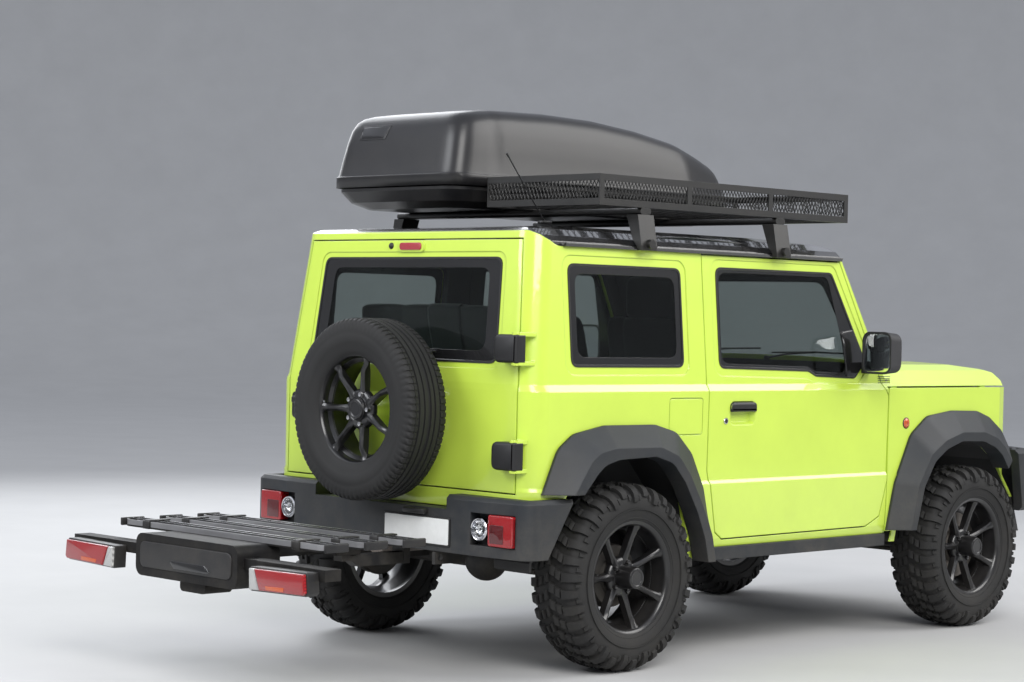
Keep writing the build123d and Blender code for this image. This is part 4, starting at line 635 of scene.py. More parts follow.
class OFFROAD_OT_finish_frame(bpy.types.Operator):
    """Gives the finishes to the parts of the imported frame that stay"""
    bl_idname = "offroad.finish_frame"
    bl_label = "Finish the frame's parts"

    def execute(self, context):
        make_finishes()
        for entry in frame["record"]["subparts"]:
            node = frame["nodes"].get(entry["node"])
            if node is None:
                continue
            node.data.materials.clear()
            node.data.materials.append(FINISHES[NODE_FINISH.get(entry["node"], entry["material_slot"])])
            node.data.shade_smooth()
            node.data.set_sharp_from_angle(angle=radians(60 if entry["node"].startswith("roof_box") else 28))
        return {"FINISHED"}


def tread_profile(radius, width, drop):
    """Outside of a tyre's half section from the tread's middle to the bead: (radius, along)."""
    half = width / 2
    return [(radius, 0.0), (radius - 0.001, half * 0.35), (radius - 0.004, half * 0.62),
            (radius - 0.012, half * 0.80), (radius - 0.034, half * 0.95), (radius - 0.062, half),
            (radius - 0.092, half * 0.985), (radius - 0.122, half * 0.90), (drop, half * 0.78)]


def smooth_profile(profile, steps):
    return curve_through([Vector((r, w, 0)) for r, w in profile], steps)


def along_profile(profile):
    """Function of the distance along a profile that gives its point and outward normal."""
    fine = smooth_profile(profile, 6)
    lengths = [0.0]
    for a, b in zip(fine, fine[1:]):
        lengths.append(lengths[-1] + (b - a).length)

    def point(s):
        s = min(max(s, 0.0), lengths[-1] - 1e-6)
        k = min(max(i for i, v in enumerate(lengths) if v <= s), len(fine) - 2)
        here = fine[k].lerp(fine[k + 1], (s - lengths[k]) / (lengths[k + 1] - lengths[k]))
        heading = (fine[k + 1] - fine[k]).normalized()
        return here, Vector((heading.y, -heading.x, 0))
    return point


LUG_TAPER, LUG_ROOT = 0.0022, 0.004
LONG_LUG, SHORT_LUG, SIDE_LUG_HEIGHT = 0.142, 0.122, 0.006


def lug(form, point, hand, ring, start, end, height, steps):
    """Tread block over a strip of the section: start and end are (s, angle low, angle high)."""
    rows = []
    for k in range(steps + 1):
        t = k / steps
        s, low, high = (lerp(a, b, t) for a, b in zip(start, end))
        here, normal = point(s)
        rise = height * (0.55 + 0.45 * min(1.0, 3 * (1 - t)))
        ease = LUG_TAPER / ring
        lifted, _ = point(s + (LUG_TAPER if k == 0 else -LUG_TAPER if k == steps else 0.0))
        row = []
        for angle, base in ((low, True), (low + ease, False), (high - ease, False), (high, True)):
            spot = here - normal * LUG_ROOT if base else lifted + normal * rise
            row.append(Vector((spot.x * cos(angle), hand * spot.y, spot.x * sin(angle))))
        rows.append(row)
    form.rings(rows, closed=False, caps=False)
    for row in (rows[0], rows[-1]):
        form.face([form.bm.verts.new(p) for p in row])


def mud_tyre_mesh(name):
    """Mud tyre about its own centre, its axle along Y."""
    values = bpy.context.scene.offroad_tyres
    form = Form()
    base_r, height = TYRE_R - values.lug_height, values.lug_height
    half = tread_profile(base_r, TYRE_W - 0.010, 0.206)
    section = [(p.x, p.y) for p in smooth_profile(half, 3)] + [(0.203, 0.080)]
    section = section + [(r, -w) for r, w in reversed(section)]
    form.lathe(section, ORIGIN, ALONG_AXLE, steps=136)
    point = along_profile(half)
    pitch = 2 * pi / values.pitches
    for k in range(values.pitches):
        reach = SHORT_LUG if k % 2 else LONG_LUG
        for hand, shift in ((1, 0.0), (-1, 0.5)):
            b = pitch * k + pitch * shift
            # Strip's start and end, as distance and shares of the pitch, then height and steps
            for start, end, rise, steps in (((0.062, 0.04, 0.64), (reach, 0.10, 0.56), height, 5),
                                            ((0.034, 0.26, 0.78), (0.056, 0.10, 0.66), height, 2),
                                            ((0.004, 0.42, 1.02), (0.029, 0.30, 0.86), height, 2),
                                            ((0.110, 0.68, 0.98), (0.136, 0.70, 0.94), SIDE_LUG_HEIGHT, 2)):
                lug(form, point, hand, base_r, *((s, b + pitch * low, b + pitch * high)
                                                 for s, low, high in (start, end)), rise, steps)
    for hand in (1, -1):
        for r, w, thick in ((0.262, 0.1155, 0.0022), (0.2285, 0.103, 0.0032)):
            form.lathe([(r + thick, hand * (w - 0.004)), (r + thick * 0.6, hand * (w + thick * 0.6)),
                        (r - thick * 0.6, hand * (w + thick * 0.6)), (r - thick, hand * (w - 0.004))],
                       ORIGIN, ALONG_AXLE, steps=136)
    return form.mesh(name, weld=0)


def wheel_piece(name, mesh, end, side, finishes, node):
    """Object of a shared wheel mesh at one hub, its outboard face outward."""
    piece = bpy.data.objects.new(name, mesh)
    piece.location = middle(f"tyre_{end}_{side}")
    piece.rotation_euler.z = 0 if SIDES[side] > 0 else pi
    return dress(piece, finishes, f"wheel_{end}_{side}", node)


class OFFROAD_OT_add_mud_tyres(bpy.types.Operator):
    """Adds the four mud tyres with their lugs"""
    bl_idname = "offroad.add_mud_tyres"
    bl_label = "Mud tyres"

    def execute(self, context):
        mesh = mud_tyre_mesh("mud_tyre")
        for end in ("front", "rear"):
            for side in SIDES:
                node = f"tyre_{end}_{side}"
                wheel_piece(f"mud_{node}", mesh, end, side, "tyre", node)
        return {"FINISHED"}


SPOKES, WHEEL_NUTS, NUT_CIRCLE = 7, 5, 0.0585


def add_rim_form(form, outer, hub_reach, brake):
    """Seven-spoke rim about the origin, its axle along Y, outboard towards +Y."""
    bead, flange, wall = 0.203, 0.2195, 0.006
    barrel = [(bead - wall, -outer), (flange - 0.002, -outer), (flange, -outer + 0.002),
              (flange - 0.002, -outer + 0.006), (bead, -outer + 0.010), (bead, -outer + 0.03),
              (bead - 0.022, -0.030), (bead - 0.022, 0.030), (bead, outer - 0.03), (bead, outer - 0.010),
              (flange - 0.002, outer - 0.007), (flange, outer - 0.003), (flange - 0.003, outer),
              (bead + 0.004, outer - 0.002), (bead - 0.003, outer - 0.008), (bead - 0.006, outer - 0.020),
              (bead - 0.009, outer - 0.040), (bead - 0.024, 0.025), (bead - 0.026, -0.030),
              (bead - wall, -outer + 0.03)]
    form.lathe(barrel, ORIGIN, ALONG_AXLE, steps=84, closed=True)
    # Spoke's sections: radius, half width, face, back and ridge
    sections = ((0.050, 0.023, 0.046, 0.022, 0.052), (0.075, 0.017, 0.048, 0.024, 0.055),
                (0.110, 0.0125, 0.054, 0.026, 0.062), (0.150, 0.012, 0.062, 0.034, 0.070),
                (0.180, 0.0145, outer - 0.026, 0.045, outer - 0.018),
                (0.1985, 0.021, outer - 0.018, 0.050, outer - 0.012))
    for k in range(SPOKES):
        turn = Matrix.Rotation(2 * pi * k / SPOKES, 3, "Y")
        form.rings([[turn @ Vector((r, w, u)) for u, w in (
            (-half, back), (-half * 0.9, face), (-half * 0.3, ridge), (half * 0.3, ridge), (half * 0.9, face),
            (half, back))] for r, half, face, back, ridge in sections])
    form.lathe([(0.0, 0.018), (0.072, 0.018), (0.078, 0.026), (0.077, 0.040), (0.070, 0.048), (0.060, 0.051),
                (0.0, 0.051)], ORIGIN, ALONG_AXLE, steps=56)
    form.lathe([(0.046, 0.048), (0.0455, 0.062), (0.042, hub_reach - 0.010), (0.039, hub_reach - 0.003),
                (0.033, hub_reach), (0.028, hub_reach - 0.001), (0.026, hub_reach - 0.003),
                (0.0, hub_reach - 0.003)], ORIGIN, ALONG_AXLE, steps=48)
    form.tone = 1
    for k in range(WHEEL_NUTS):
        a = 2 * pi * (k + 0.5) / WHEEL_NUTS
        form.lathe([(0.0, 0.0), (0.0105, 0.0), (0.0105, 0.010), (0.0085, 0.014), (0.0, 0.0155)],
                   (NUT_CIRCLE * cos(a), 0.050, NUT_CIRCLE * sin(a)), ALONG_AXLE, steps=6)
    form.tube([(0.190, outer - 0.030, 0.022), (0.182, outer - 0.008, 0.022)], 0.0035)
    if brake == "disc":
        form.tone = 2
        form.lathe([(0.0, -0.013), (0.144, -0.013), (0.144, -0.002), (0.144, 0.005), (0.085, 0.005),
                    (0.080, 0.017), (0.0, 0.017)], ORIGIN, ALONG_AXLE, steps=64)
    if brake == "drum":
        form.tone = 3
        form.lathe([(0.0, -0.059), (0.118, -0.059), (0.124, -0.054), (0.124, -0.046), (0.120, -0.044),
                    (0.120, -0.004), (0.116, 0.004), (0.080, 0.006), (0.076, 0.017), (0.0, 0.017)],
                   ORIGIN, ALONG_AXLE, steps=64)


class OFFROAD_OT_add_rims(bpy.types.Operator):
    """Adds the four seven-spoke rims with their hubs, nuts and brakes"""
    bl_idname = "offroad.add_rims"
    bl_label = "Rims"

    def execute(self, context):
        finishes = ("rim_black", "black_gloss_plastic", "brake_steel", "cast_iron")
        for end, brake in (("front", "disc"), ("rear", "drum")):
            form = Form()
            add_rim_form(form, 0.098, 0.125, brake)
            mesh = form.mesh(f"rim_{end}", weld=0)
            for side in SIDES:
                node = f"rim_{end}_{side}"
                wheel_piece(f"spoked_{node}", mesh, end, side, finishes, node)
        return {"FINISHED"}


# Openings, and the clear glass inside their printed edges
QUARTER_WINDOW = rect(-0.272, 1.155, 0.355, 1.535)
DOOR_WINDOW = ((0.575, 1.152), (1.140, 1.140), (1.190, 1.119), (1.450, 1.110), (1.528, 1.178), (1.323, 1.547),
               (0.575, 1.547))
DOOR_CLEAR = ((0.590, 1.168), (1.143, 1.156), (1.193, 1.135), (1.388, 1.131), (1.398, 1.180), (1.300, 1.531),
              (0.590, 1.531))
MIRROR_FOOT = ((1.398, 1.112), (1.447, 1.112), (1.525, 1.179), (1.452, 1.312), (1.372, 1.300))
TAILGATE_WINDOW = ((-0.528, 1.162), (0.528, 1.162), (0.505, 1.553), (-0.505, 1.553))
TAILGATE_CLEAR = ((-0.462, 1.205), (0.462, 1.205), (0.445, 1.516), (-0.445, 1.516))
SCREEN_WINDOW = ((-0.640, 0.026), (0.640, 0.026), (0.560, 0.505), (-0.560, 0.505))
WINDOW_ROUND, GLASS_DROP = 0.032, -0.004
SEAL, SCREEN_SEAL, REVEAL = 0.008, 0.014, 0.004


def window_trim(skin, opening, clear, seal=SEAL):
    """Rubber round an opening and the black edge that is printed on its glass."""
    form = Form()
    form.band(skin, rounded(grown(opening, seal - REVEAL), WINDOW_ROUND + 0.004),
              rounded(grown(opening, -REVEAL), WINDOW_ROUND - 0.003), GLASS_DROP - 0.001, GLASS_DROP + 0.0035)
    form.tone = 1
    form.band(skin, rounded(opening, WINDOW_ROUND), rounded(clear, WINDOW_ROUND + 0.012), GLASS_DROP - 0.0002,
              GLASS_DROP + 0.0004)
    return form


class OFFROAD_OT_add_window_trim(bpy.types.Operator):
    """Adds the seals and the black printed edges of every window"""
    bl_idname = "offroad.add_window_trim"
    bl_label = "Window trim"

    def execute(self, context):
        finishes = ("rubber_seal", "black_gloss_plastic")
        for side, hand in SIDES.items():
            skin = side_skin(hand)
            window_trim(skin, QUARTER_WINDOW, grown(QUARTER_WINDOW, -0.034)).add(
                f"quarter_window_trim_{side}", finishes, "root", "dark_plastic")
            form = window_trim(skin, DOOR_WINDOW, DOOR_CLEAR)
            form.patch(skin, rounded(MIRROR_FOOT, 0.012), GLASS_DROP, 0.0025, 0.002)
            form.add(f"door_window_trim_{side}", finishes, f"door_{side}", "dark_plastic")
        window_trim(rear_skin, TAILGATE_WINDOW, TAILGATE_CLEAR).add(
            "tailgate_window_trim", finishes, "tailgate", "dark_plastic")
        window_trim(screen_skin, SCREEN_WINDOW, grown(SCREEN_WINDOW, -0.045), SCREEN_SEAL).add(
            "windscreen_trim", finishes, "root", "dark_plastic")
        return {"FINISHED"}


HANDLE_PULL = (0.697, 0.994, 0.158, 0.036)
LOCK_X, LOCK_Z = 0.591, 0.940
MIRROR_X, MIRROR_Y, MIRROR_Z, MIRROR_LEAN = 1.4425, 0.838, 1.218, 0.0035


class OFFROAD_OT_add_door_details(bpy.types.Operator):
    """Adds the pulls, locks, mirror glasses, side indicators and inner sills"""
    bl_idname = "offroad.add_door_details"
    bl_label = "Door details"

    def execute(self, context):
        x, z, length, height = HANDLE_PULL
        half, low, high = length / 2 + 0.001, z - height / 2 - 0.001, z + height / 2 + 0.002
        outline = rounded(rect(x - half, low, x + half, high), (0.006, 0.006, 0.020, 0.020), 6)
        for side, hand in SIDES.items():
            outward = (0, hand, 0)
            form = Form()
            form.rings([[at(u, hand * y, v) for u, v in grown(outline, -inset)] for inset, y in (
                (0.0, 0.716), (0.0, 0.7405), (0.002, 0.7445), (0.005, 0.7465), (0.012, 0.7475))])
            form.add(f"door_pull_{side}", "black_trim", f"door_{side}", "dark_plastic", angle=50)
            form = Form()
            lock = at(LOCK_X, hand * HALF_WIDTH, LOCK_Z)
            form.lathe([(0.0, -0.004), (0.0125, -0.004), (0.0125, 0.002), (0.0115, 0.0032), (0.009, 0.0036),
                        (0.0085, 0.0025)], lock, outward, 28)
            form.tone = 1
            form.lathe([(0.0087, 0.0024), (0.0, 0.0024)], lock, outward, 24)
            form.block(at(LOCK_X, hand * (HALF_WIDTH + 0.0026), LOCK_Z), (0.0022, 0.001, 0.009), 0.0003)
            form.add(f"door_lock_{side}", ("bright_metal", "black_trim"), f"door_{side}", "dark_plastic")
            form = Form()
            form.patch(lambda y, v, rise: at(MIRROR_X + 0.004 - rise + MIRROR_LEAN * (v - MIRROR_Z) / 0.08, y, v),
                       rounded(centred(hand * MIRROR_Y, MIRROR_Z, 0.0655, 0.0795), 0.030), 0.0, 0.003, 0.001)
            form.add(f"mirror_glass_{side}", "mirror_face", f"door_{side}", "black_gloss_plastic")
            form = Form()
            spot = at(1.802, hand * (HALF_WIDTH - 0.003), 0.913)
            form.lathe([(0.024, 0.0), (0.0245, 0.004), (0.0225, 0.006), (0.021, 0.006)], spot, outward, 36)
            form.tone = 1
            form.lathe([(0.0215, 0.0055), (0.019, 0.0085), (0.012, 0.011), (0.0, 0.012)], spot, outward, 36)
            form.add(f"side_indicator_{side}", ("black_trim", "orange_lens"), "root", "red_lens")
            form = Form()
            form.block(at(1.080, hand * 0.633, 0.486), (1.160, 0.006, 0.093), 0.002)
            form.add(f"inner_sill_{side}", "chassis_black", "root", "chassis_black")
        return {"FINISHED"}


STOP_LAMP_Z, WIPER_Y, WIPER_Z = 1.598, 0.30, 1.130


class OFFROAD_OT_add_tailgate_details(bpy.types.Operator):
    """Adds the hinge covers, stop lamp, washer nozzle, wiper and pull"""
    bl_idname = "offroad.add_tailgate_details"
    bl_label = "Tailgate details"

    def execute(self, context):
        def done(form, name, finish="black_trim", slot="dark_plastic", angle=38):
            form.add(name, finish, "tailgate", slot, angle=angle)
        for name, z in (("upper", 1.217), ("lower", 0.823)):
            form = Form()
            form.patch(flat(-0.506), rounded(rect(-0.7005, z - 0.0525, -0.578, z + 0.0525),
                                             (0.008, 0.030, 0.030, 0.008), 7), 0.0, 0.049, 0.012)
            done(form, f"hinge_cover_{name}", angle=45)
        form = Form()
        form.patch(flat(body_rear(STOP_LAMP_Z) - 0.008),
                   rounded(centred(0.0, STOP_LAMP_Z, 0.062, 0.0145), 0.0135, 6), 0.0, 0.0045, 0.0022)
        done(form, "stop_lamp_lens", "stop_lens", "red_lens")
        form = Form()
        form.lathe([(0.013, -0.002), (0.013, 0.002), (0.009, 0.007), (0.005, 0.010), (0.0, 0.011)],
                   rear_skin(0.121, 1.600, 0), REARWARD, 24)
        done(form, "washer_nozzle")
        form = Form()
        form.lathe([(0.030, 0.0), (0.030, 0.006), (0.024, 0.018), (0.015, 0.024), (0.0, 0.026)],
                   rear_skin(WIPER_Y, WIPER_Z, 0.0), REARWARD, 28)
        form.tube(curve_through([rear_skin(*place) for place in (
            (WIPER_Y, WIPER_Z, 0.030), (0.27, 1.150, 0.034), (0.10, 1.186, 0.030), (-0.04, 1.203, 0.022))], 5),
            0.0055)
        form.tube([rear_skin(*place) for place in ((0.17, 1.190, 0.010), (-0.02, 1.206, 0.011),
                                                   (-0.21, 1.196, 0.010))], 0.0045, 6)
        done(form, "rear_wiper")
        form = Form()
        form.patch(flat(-0.500), rounded(rect(0.548, 0.905, 0.638, 1.010), 0.020, 5), 0.0, 0.0035, 0.002)
        form.block(at(-0.508, 0.592, 0.978), (0.020, 0.074, 0.030), 0.008, steps=4)
        done(form, "tailgate_pull")
        return {"FINISHED"}


SPARE_PLACE = (-0.663, -0.020, 0.970)
SPARE_R, SPARE_HALF, SPARE_PITCHES = 0.3465, 0.097, 84
OUT_TO_REAR = Matrix(((0, -1, 0), (1, 0, 0), (0, 0, 1)))


def road_tyre(form):
    """Road tyre about the origin, axle along Y: ribs round it and sipes over its shoulders."""
    r, half = SPARE_R, SPARE_HALF
    side = [(r - 0.010, half * 0.93), (r - 0.022, half * 0.985), (r - 0.050, half), (r - 0.058, half - 0.0012),
            (r - 0.062, half), (r - 0.090, half * 0.97), (r - 0.094, half * 0.95), (r - 0.112, half * 0.90),
            (r - 0.122, half * 0.86), (0.206, half * 0.78), (0.201, half * 0.70)]
    crown = []
    for low, high in ((0.008, 0.022), (0.030, 0.048), (0.056, 0.068)):
        crown += [(r - 0.007, low - 0.001), (r, low), (r, high), (r - 0.007, high + 0.001)]
    plain = crown + [(r - 0.001, 0.070), (r - 0.003, half * 0.84)] + side
    cut = [(q - 0.0045 if 0.055 < w < 0.0685 and q > r - 0.001 else q, w) for q, w in crown]
    cut += [(r - 0.0055, 0.070), (r - 0.0075, half * 0.84), (r - 0.0135, half * 0.92)] + side[1:]
    rings = []
    for k in range(SPARE_PITCHES):
        for share, half_section in ((0.0, plain), (0.62, plain), (0.70, cut), (0.92, cut)):
            a = 2 * pi * (k + share) / SPARE_PITCHES
            section = half_section[::-1] + [(q, -w) for q, w in half_section]
            rings.append([Vector((q * cos(a), w, q * sin(a))) for q, w in section])
    form.rings(rings, closed=False, caps=False, loop=True)


class OFFROAD_OT_add_spare_wheel(bpy.types.Operator):
    """Adds the spare wheel's road tyre and rim"""
    bl_idname = "offroad.add_spare_wheel"
    bl_label = "Spare wheel"

    def execute(self, context):
        tyre, rim = Form(), Form()
        road_tyre(tyre)
        add_rim_form(rim, 0.078, 0.070, None)
        for form, name, finishes, slot, node in (
                (tyre, "road_spare_tyre", "tyre", "tyre", "spare_tyre"),
                (rim, "spoked_spare_rim", ("rim_black", "bright_metal"), "rim_black", "spare_rim")):
            for v in form.bm.verts:
                v.co = OUT_TO_REAR @ v.co + at(*SPARE_PLACE)
            form.add(name, finishes, "tailgate", slot, node)
        return {"FINISHED"}


REAR_LAMP_X, REVERSING_LAMP = -0.560, (0.553, 0.550)


class OFFROAD_OT_add_rear_lamps(bpy.types.Operator):
    """Adds the lamps of the rear bumper and its blank plate"""
    bl_idname = "offroad.add_rear_lamps"
    bl_label = "Rear lamps"

    def execute(self, context):
        form = Form()
        for hand in SIDES.values():
            face = flat(REAR_LAMP_X, hand=hand)
            lamp = at(REAR_LAMP_X, hand * REVERSING_LAMP[0], REVERSING_LAMP[1])
            form.tone = 0
            form.patch(face, rounded(rect(0.600, 0.492, 0.728, 0.608), 0.010, 4), -0.020, 0.021, 0.005)
            form.tone = 1
            form.patch(face, rounded(rect(0.612, 0.504, 0.684, 0.572), 0.006, 4), 0.018, 0.0225, 0.001)
            form.tone = 2
            form.lathe([(0.043, -0.020), (0.043, 0.018), (0.040, 0.0215), (0.037, 0.0205), (0.036, 0.014),
                        (0.028, 0.000), (0.014, -0.006), (0.0, -0.007)], lamp, REARWARD, 40)
            form.tone = 3
            form.lathe([(0.0365, 0.013), (0.0365, 0.0165), (0.020, 0.0205), (0.0, 0.0215), (0.0, 0.0185),
                        (0.020, 0.0175), (0.0345, 0.013)], lamp, REARWARD, 40)
            form.lathe([(0.008, -0.006), (0.008, 0.006), (0.005, 0.012), (0.0, 0.013)], lamp, REARWARD, 16)
        form.add("bumper_lamps", ("red_lens", "dark_red_lens", "reflector", "clear_lens"), "root", "red_lens",
                 "tail_lamps")
        form = Form()
        form.layers(4, (flat(-0.5825), rect(-0.405, 0.470, -0.035, 0.580), 0.008, 0, 0.004, 0.001),
                    (flat(-0.5865), rect(-0.398, 0.477, -0.042, 0.573), 0.006, 0, 0.0016, 0.0008))
        form.tone = 0
        form.block(at(-0.594, -0.220, 0.596), (0.026, 0.120, 0.020), 0.005)
        form.add("rear_plate_blank", ("black_trim", "plate_white"), "root", "dark_plastic")
        return {"FINISHED"}


WIPER_AXIS, COWL_SLOTS = (0.88, 0, 0.475), (1.088, 1.097, 1.106, 1.115)
# Headlamp and indicator: y, z, back, front and radius
FRONT_LAMPS = ((0.530, 0.930, 2.602, 2.645, 0.0875), (0.648, 0.985, 2.602, 2.630, 0.0295))


class OFFROAD_OT_add_front(bpy.types.Operator):
    """Adds the headlamps, wipers, blank front plate and cowl slots"""
    bl_idname = "offroad.add_front"
    bl_label = "Front lamps and wipers"

    def execute(self, context):
        form = Form()
        for hand in SIDES.values():
            for y, z, low, high, r in FRONT_LAMPS:
                deep = high - low
                place = at(low, hand * y, z)
                form.tone = 0
                form.lathe([(r, 0.0), (r, deep - 0.006), (r - 0.004, deep - 0.004), (r - 0.007, deep - 0.008),
                            (r * 0.86, deep * 0.55), (r * 0.62, deep * 0.22), (r * 0.3, 0.004), (0.0, 0.003)],
                           place, FORWARD, 56)
                form.lathe([(0.0, 0.003), (r * 0.26, 0.003), (r * 0.30, deep * 0.42), (r * 0.24, deep * 0.50),
                            (0.0, deep * 0.56)], place, FORWARD, 40)
                form.tone = 1 if r > 0.05 else 2
                form.lathe([(r - 0.002, deep - 0.006), (r - 0.003, deep - 0.002), (r * 0.55, deep + 0.003),
                            (0.0, deep + 0.005), (0.0, deep + 0.002), (r * 0.55, deep), (r - 0.006, deep - 0.006)],
                           place, FORWARD, 56)
        form.add("round_headlamps", ("reflector", "clear_lens", "orange_lens"), "root", "clear_lens", "headlamps")
        form = Form()
        for y in (0.46, -0.06):
            form.lathe([(0.014, -0.004), (0.014, 0.004), (0.009, 0.009), (0.0, 0.010)], screen_skin(y, 0.062, 0.0),
                       WIPER_AXIS, 20)
            form.tube(curve_through([screen_skin(y, 0.062, 0.008), screen_skin(y - 0.12, 0.082, 0.016),
                                     screen_skin(y - 0.30, 0.102, 0.013)], 4), 0.005)
            form.tube([screen_skin(y - 0.50, 0.112, 0.004), screen_skin(y - 0.28, 0.104, 0.007),
                       screen_skin(y - 0.04, 0.092, 0.004)], 0.0045, 6)
        form.add("wipers", "black_trim", "root", "dark_plastic")
        form = Form()
        form.layers(4, (flat(2.872, out=1), rect(-0.26, 0.512, 0.26, 0.592), 0.006, -0.004, 0.006, 0.001),
                    (flat(2.878, out=1), rect(-0.254, 0.517, 0.254, 0.587), 0.005, 0, 0.0015, 0.0006))
        form.add("front_plate_blank", ("black_trim", "plate_white"), "root", "dark_plastic")
        for side, hand in SIDES.items():
            form = Form()
            for z in COWL_SLOTS:
                form.block(at(1.655, hand * 0.7215, z), (0.085, 0.004, 0.0025), 0.001)
            form.add(f"cowl_slots_{side}", "black_trim", "root", "dark_plastic")
        return {"FINISHED"}


def expanded_mesh(form, origin, across, up, width, height, cell, tall, strand):
    """Expanded-metal panel: zigzag strands that meet at their corners."""
    across, up = Vector(across).normalized(), Vector(up).normalized()
    columns = round(width / (cell / 2))
    step = width / columns
    levels = max(2, round(height / (tall / 2)))
    for k in range(columns):
        points = []
        for j in range(levels + 1):
            sway = step / 2 * (1 if (j + k) % 2 else -1)
            points.append(Vector(origin) + across * ((k + 0.5) * step + sway) + up * (height * j / levels))
        form.tube(points, strand / 2, 4, caps=False)


BOX_REAR, BOX_LONG, BOX_MIDDLE, BOX_FOOT, BOX_TOP = -0.262, 1.900, 0.340, 1.850, 2.180
BOX_WALL = 0.005
BOX_PLAN = ((0.0, -0.045), (0.0, 0.725), (1.420, 0.725), (1.740, 0.645), (1.900, 0.475), (1.900, 0.205),
            (1.740, 0.035), (1.420, -0.045))
# Drop of the ridge below the top, by share of the length
BOX_RIDGE = ((0.0, 0.040), (0.07, 0.022), (0.14, 0.008), (0.30, 0.0), (0.45, 0.006), (0.58, 0.028), (0.70, 0.064),
             (0.80, 0.108), (0.90, 0.164), (1.0, 0.235))
# Rings from the foot up: how much narrower and shorter, the share of the height, and a step
BOX_STEP = 0.047
BOX_RISE = [(0.0, 0.0, 0.0, 0.0), (0.0, 0.0, 0.0, 0.043), (0.003, 0.002, 0.0, 0.0455)]
BOX_RISE += [(*row, BOX_STEP) for row in (
    (0.012, 0.006, 0.0), (0.018, 0.010, 0.04), (0.036, 0.026, 0.30), (0.060, 0.042, 0.56), (0.088, 0.058, 0.76),
    (0.125, 0.076, 0.88), (0.180, 0.100, 0.945), (0.260, 0.135, 0.972), (0.400, 0.200, 0.986),
    (0.620, 0.360, 0.995), (0.840, 0.620, 1.0), (1.0, 0.800, 1.0))]


def value_at(table, share):
    """Value of a table of (share, value) at a share, on a straight line between its rows."""
    for (a, low), (b, high) in zip(table, table[1:]):
        if share <= b:
            return lerp(low, high, (share - a) / (b - a))
    return table[-1][1]


def box_lid_point(x, y, level):
    """Point of the roof box's lid over a place of its plan, x from the box's rear."""
    narrow, shorter, share, step = level
    mid_x, mid_y = BOX_LONG / 2, BOX_MIDDLE
    x, y = mid_x + (x - mid_x) * (1 - shorter), mid_y + (y - mid_y) * (1 - narrow)
    top = BOX_TOP - value_at(BOX_RIDGE, x / BOX_LONG)
    waist = 0.006 * max(0.0, 1 - abs(x - 0.235) / 0.030) * min(1.0, share * 5) * (1 - share ** 6)
    return at(BOX_REAR + x, y + (waist if y < mid_y else -waist), lerp(BOX_FOOT + step, top, share))


def lid_rear(y, z, rise):
    """Rear end of the roof box's lid as a surface."""
    for low, high in zip(BOX_RISE[4:], BOX_RISE[5:]):
        a, b = (box_lid_point(0.0, y, row) for row in (low, high))
        if z <= b.z:
            return Vector((lerp(a.x, b.x, (z - a.z) / (b.z - a.z)) - rise, y, z))
    return Vector((a.x - rise, y, z))


def add_box_lid():
    """Lid of the roof box: rim band, step, drawn-in flanks and a low ridge."""
    form = Form()
    plan = divided(rounded(BOX_PLAN, (0.090, 0.090, 0.30, 0.20, 0.10, 0.10, 0.20, 0.30), 7), 0.030)
    form.rings([[box_lid_point(x, y, level) for x, y in plan] for level in BOX_RISE], caps=False)
    bmesh.ops.remove_doubles(form.bm, verts=form.bm.verts, dist=0.0004)
    lid = form.add("moulded_box_lid", "box_shell", "roof_box_lid", "box_shell", "roof_box_lid", angle=35)
    wall = lid.modifiers.new("wall", "SOLIDIFY")
    wall.thickness, wall.offset = BOX_WALL, -1.0
    form = Form()
    for tone, outline, radius, levels in (
            (0, ((0.585, 2.105), (0.405, 2.105), (0.425, 2.045), (0.585, 2.045)), 0.006, (-0.002, 0.0022, 0.001)),
            (1, ((0.577, 2.099), (0.414, 2.099), (0.431, 2.051), (0.577, 2.051)), 0.005, (0.001, 0.0027, 0.0004))):
        form.tone = tone
        form.patch(lid_rear, divided(rounded(outline, radius, 3), 0.02), *levels)
    form.add("lid_label_blank", ("box_shell", "black_gloss_plastic"), "roof_box_lid", "box_shell")
    form = Form()
    for x in (0.25, 0.95, 1.45):
        form.block(at(BOX_REAR + x, -0.052, 1.842), (0.060, 0.008, 0.020), 0.003)
    form.block(at(BOX_REAR + 0.95, 0.7285, 1.846), (0.10, 0.006, 0.030), 0.0028)
    form.lathe([(0.010, 0.0), (0.010, 0.003), (0.007, 0.004), (0.0, 0.004)], at(BOX_REAR + 0.95, 0.7310, 1.846),
               (0, 1, 0), 20)
    form.add("box_fittings", "black_trim", "root", "box_shell")


# Inside of the basket's rails: x, y and z, low and high, and the level of its floor
BASKET_X, BASKET_Y, BASKET_Z, BASKET_FLOOR = (-0.1232, 1.3932), (-0.6932, -0.0968), (1.792, 1.857), 1.7720
SIDE_CELL_TALL, FLOOR_CELL = 0.046, (0.034, 0.085)


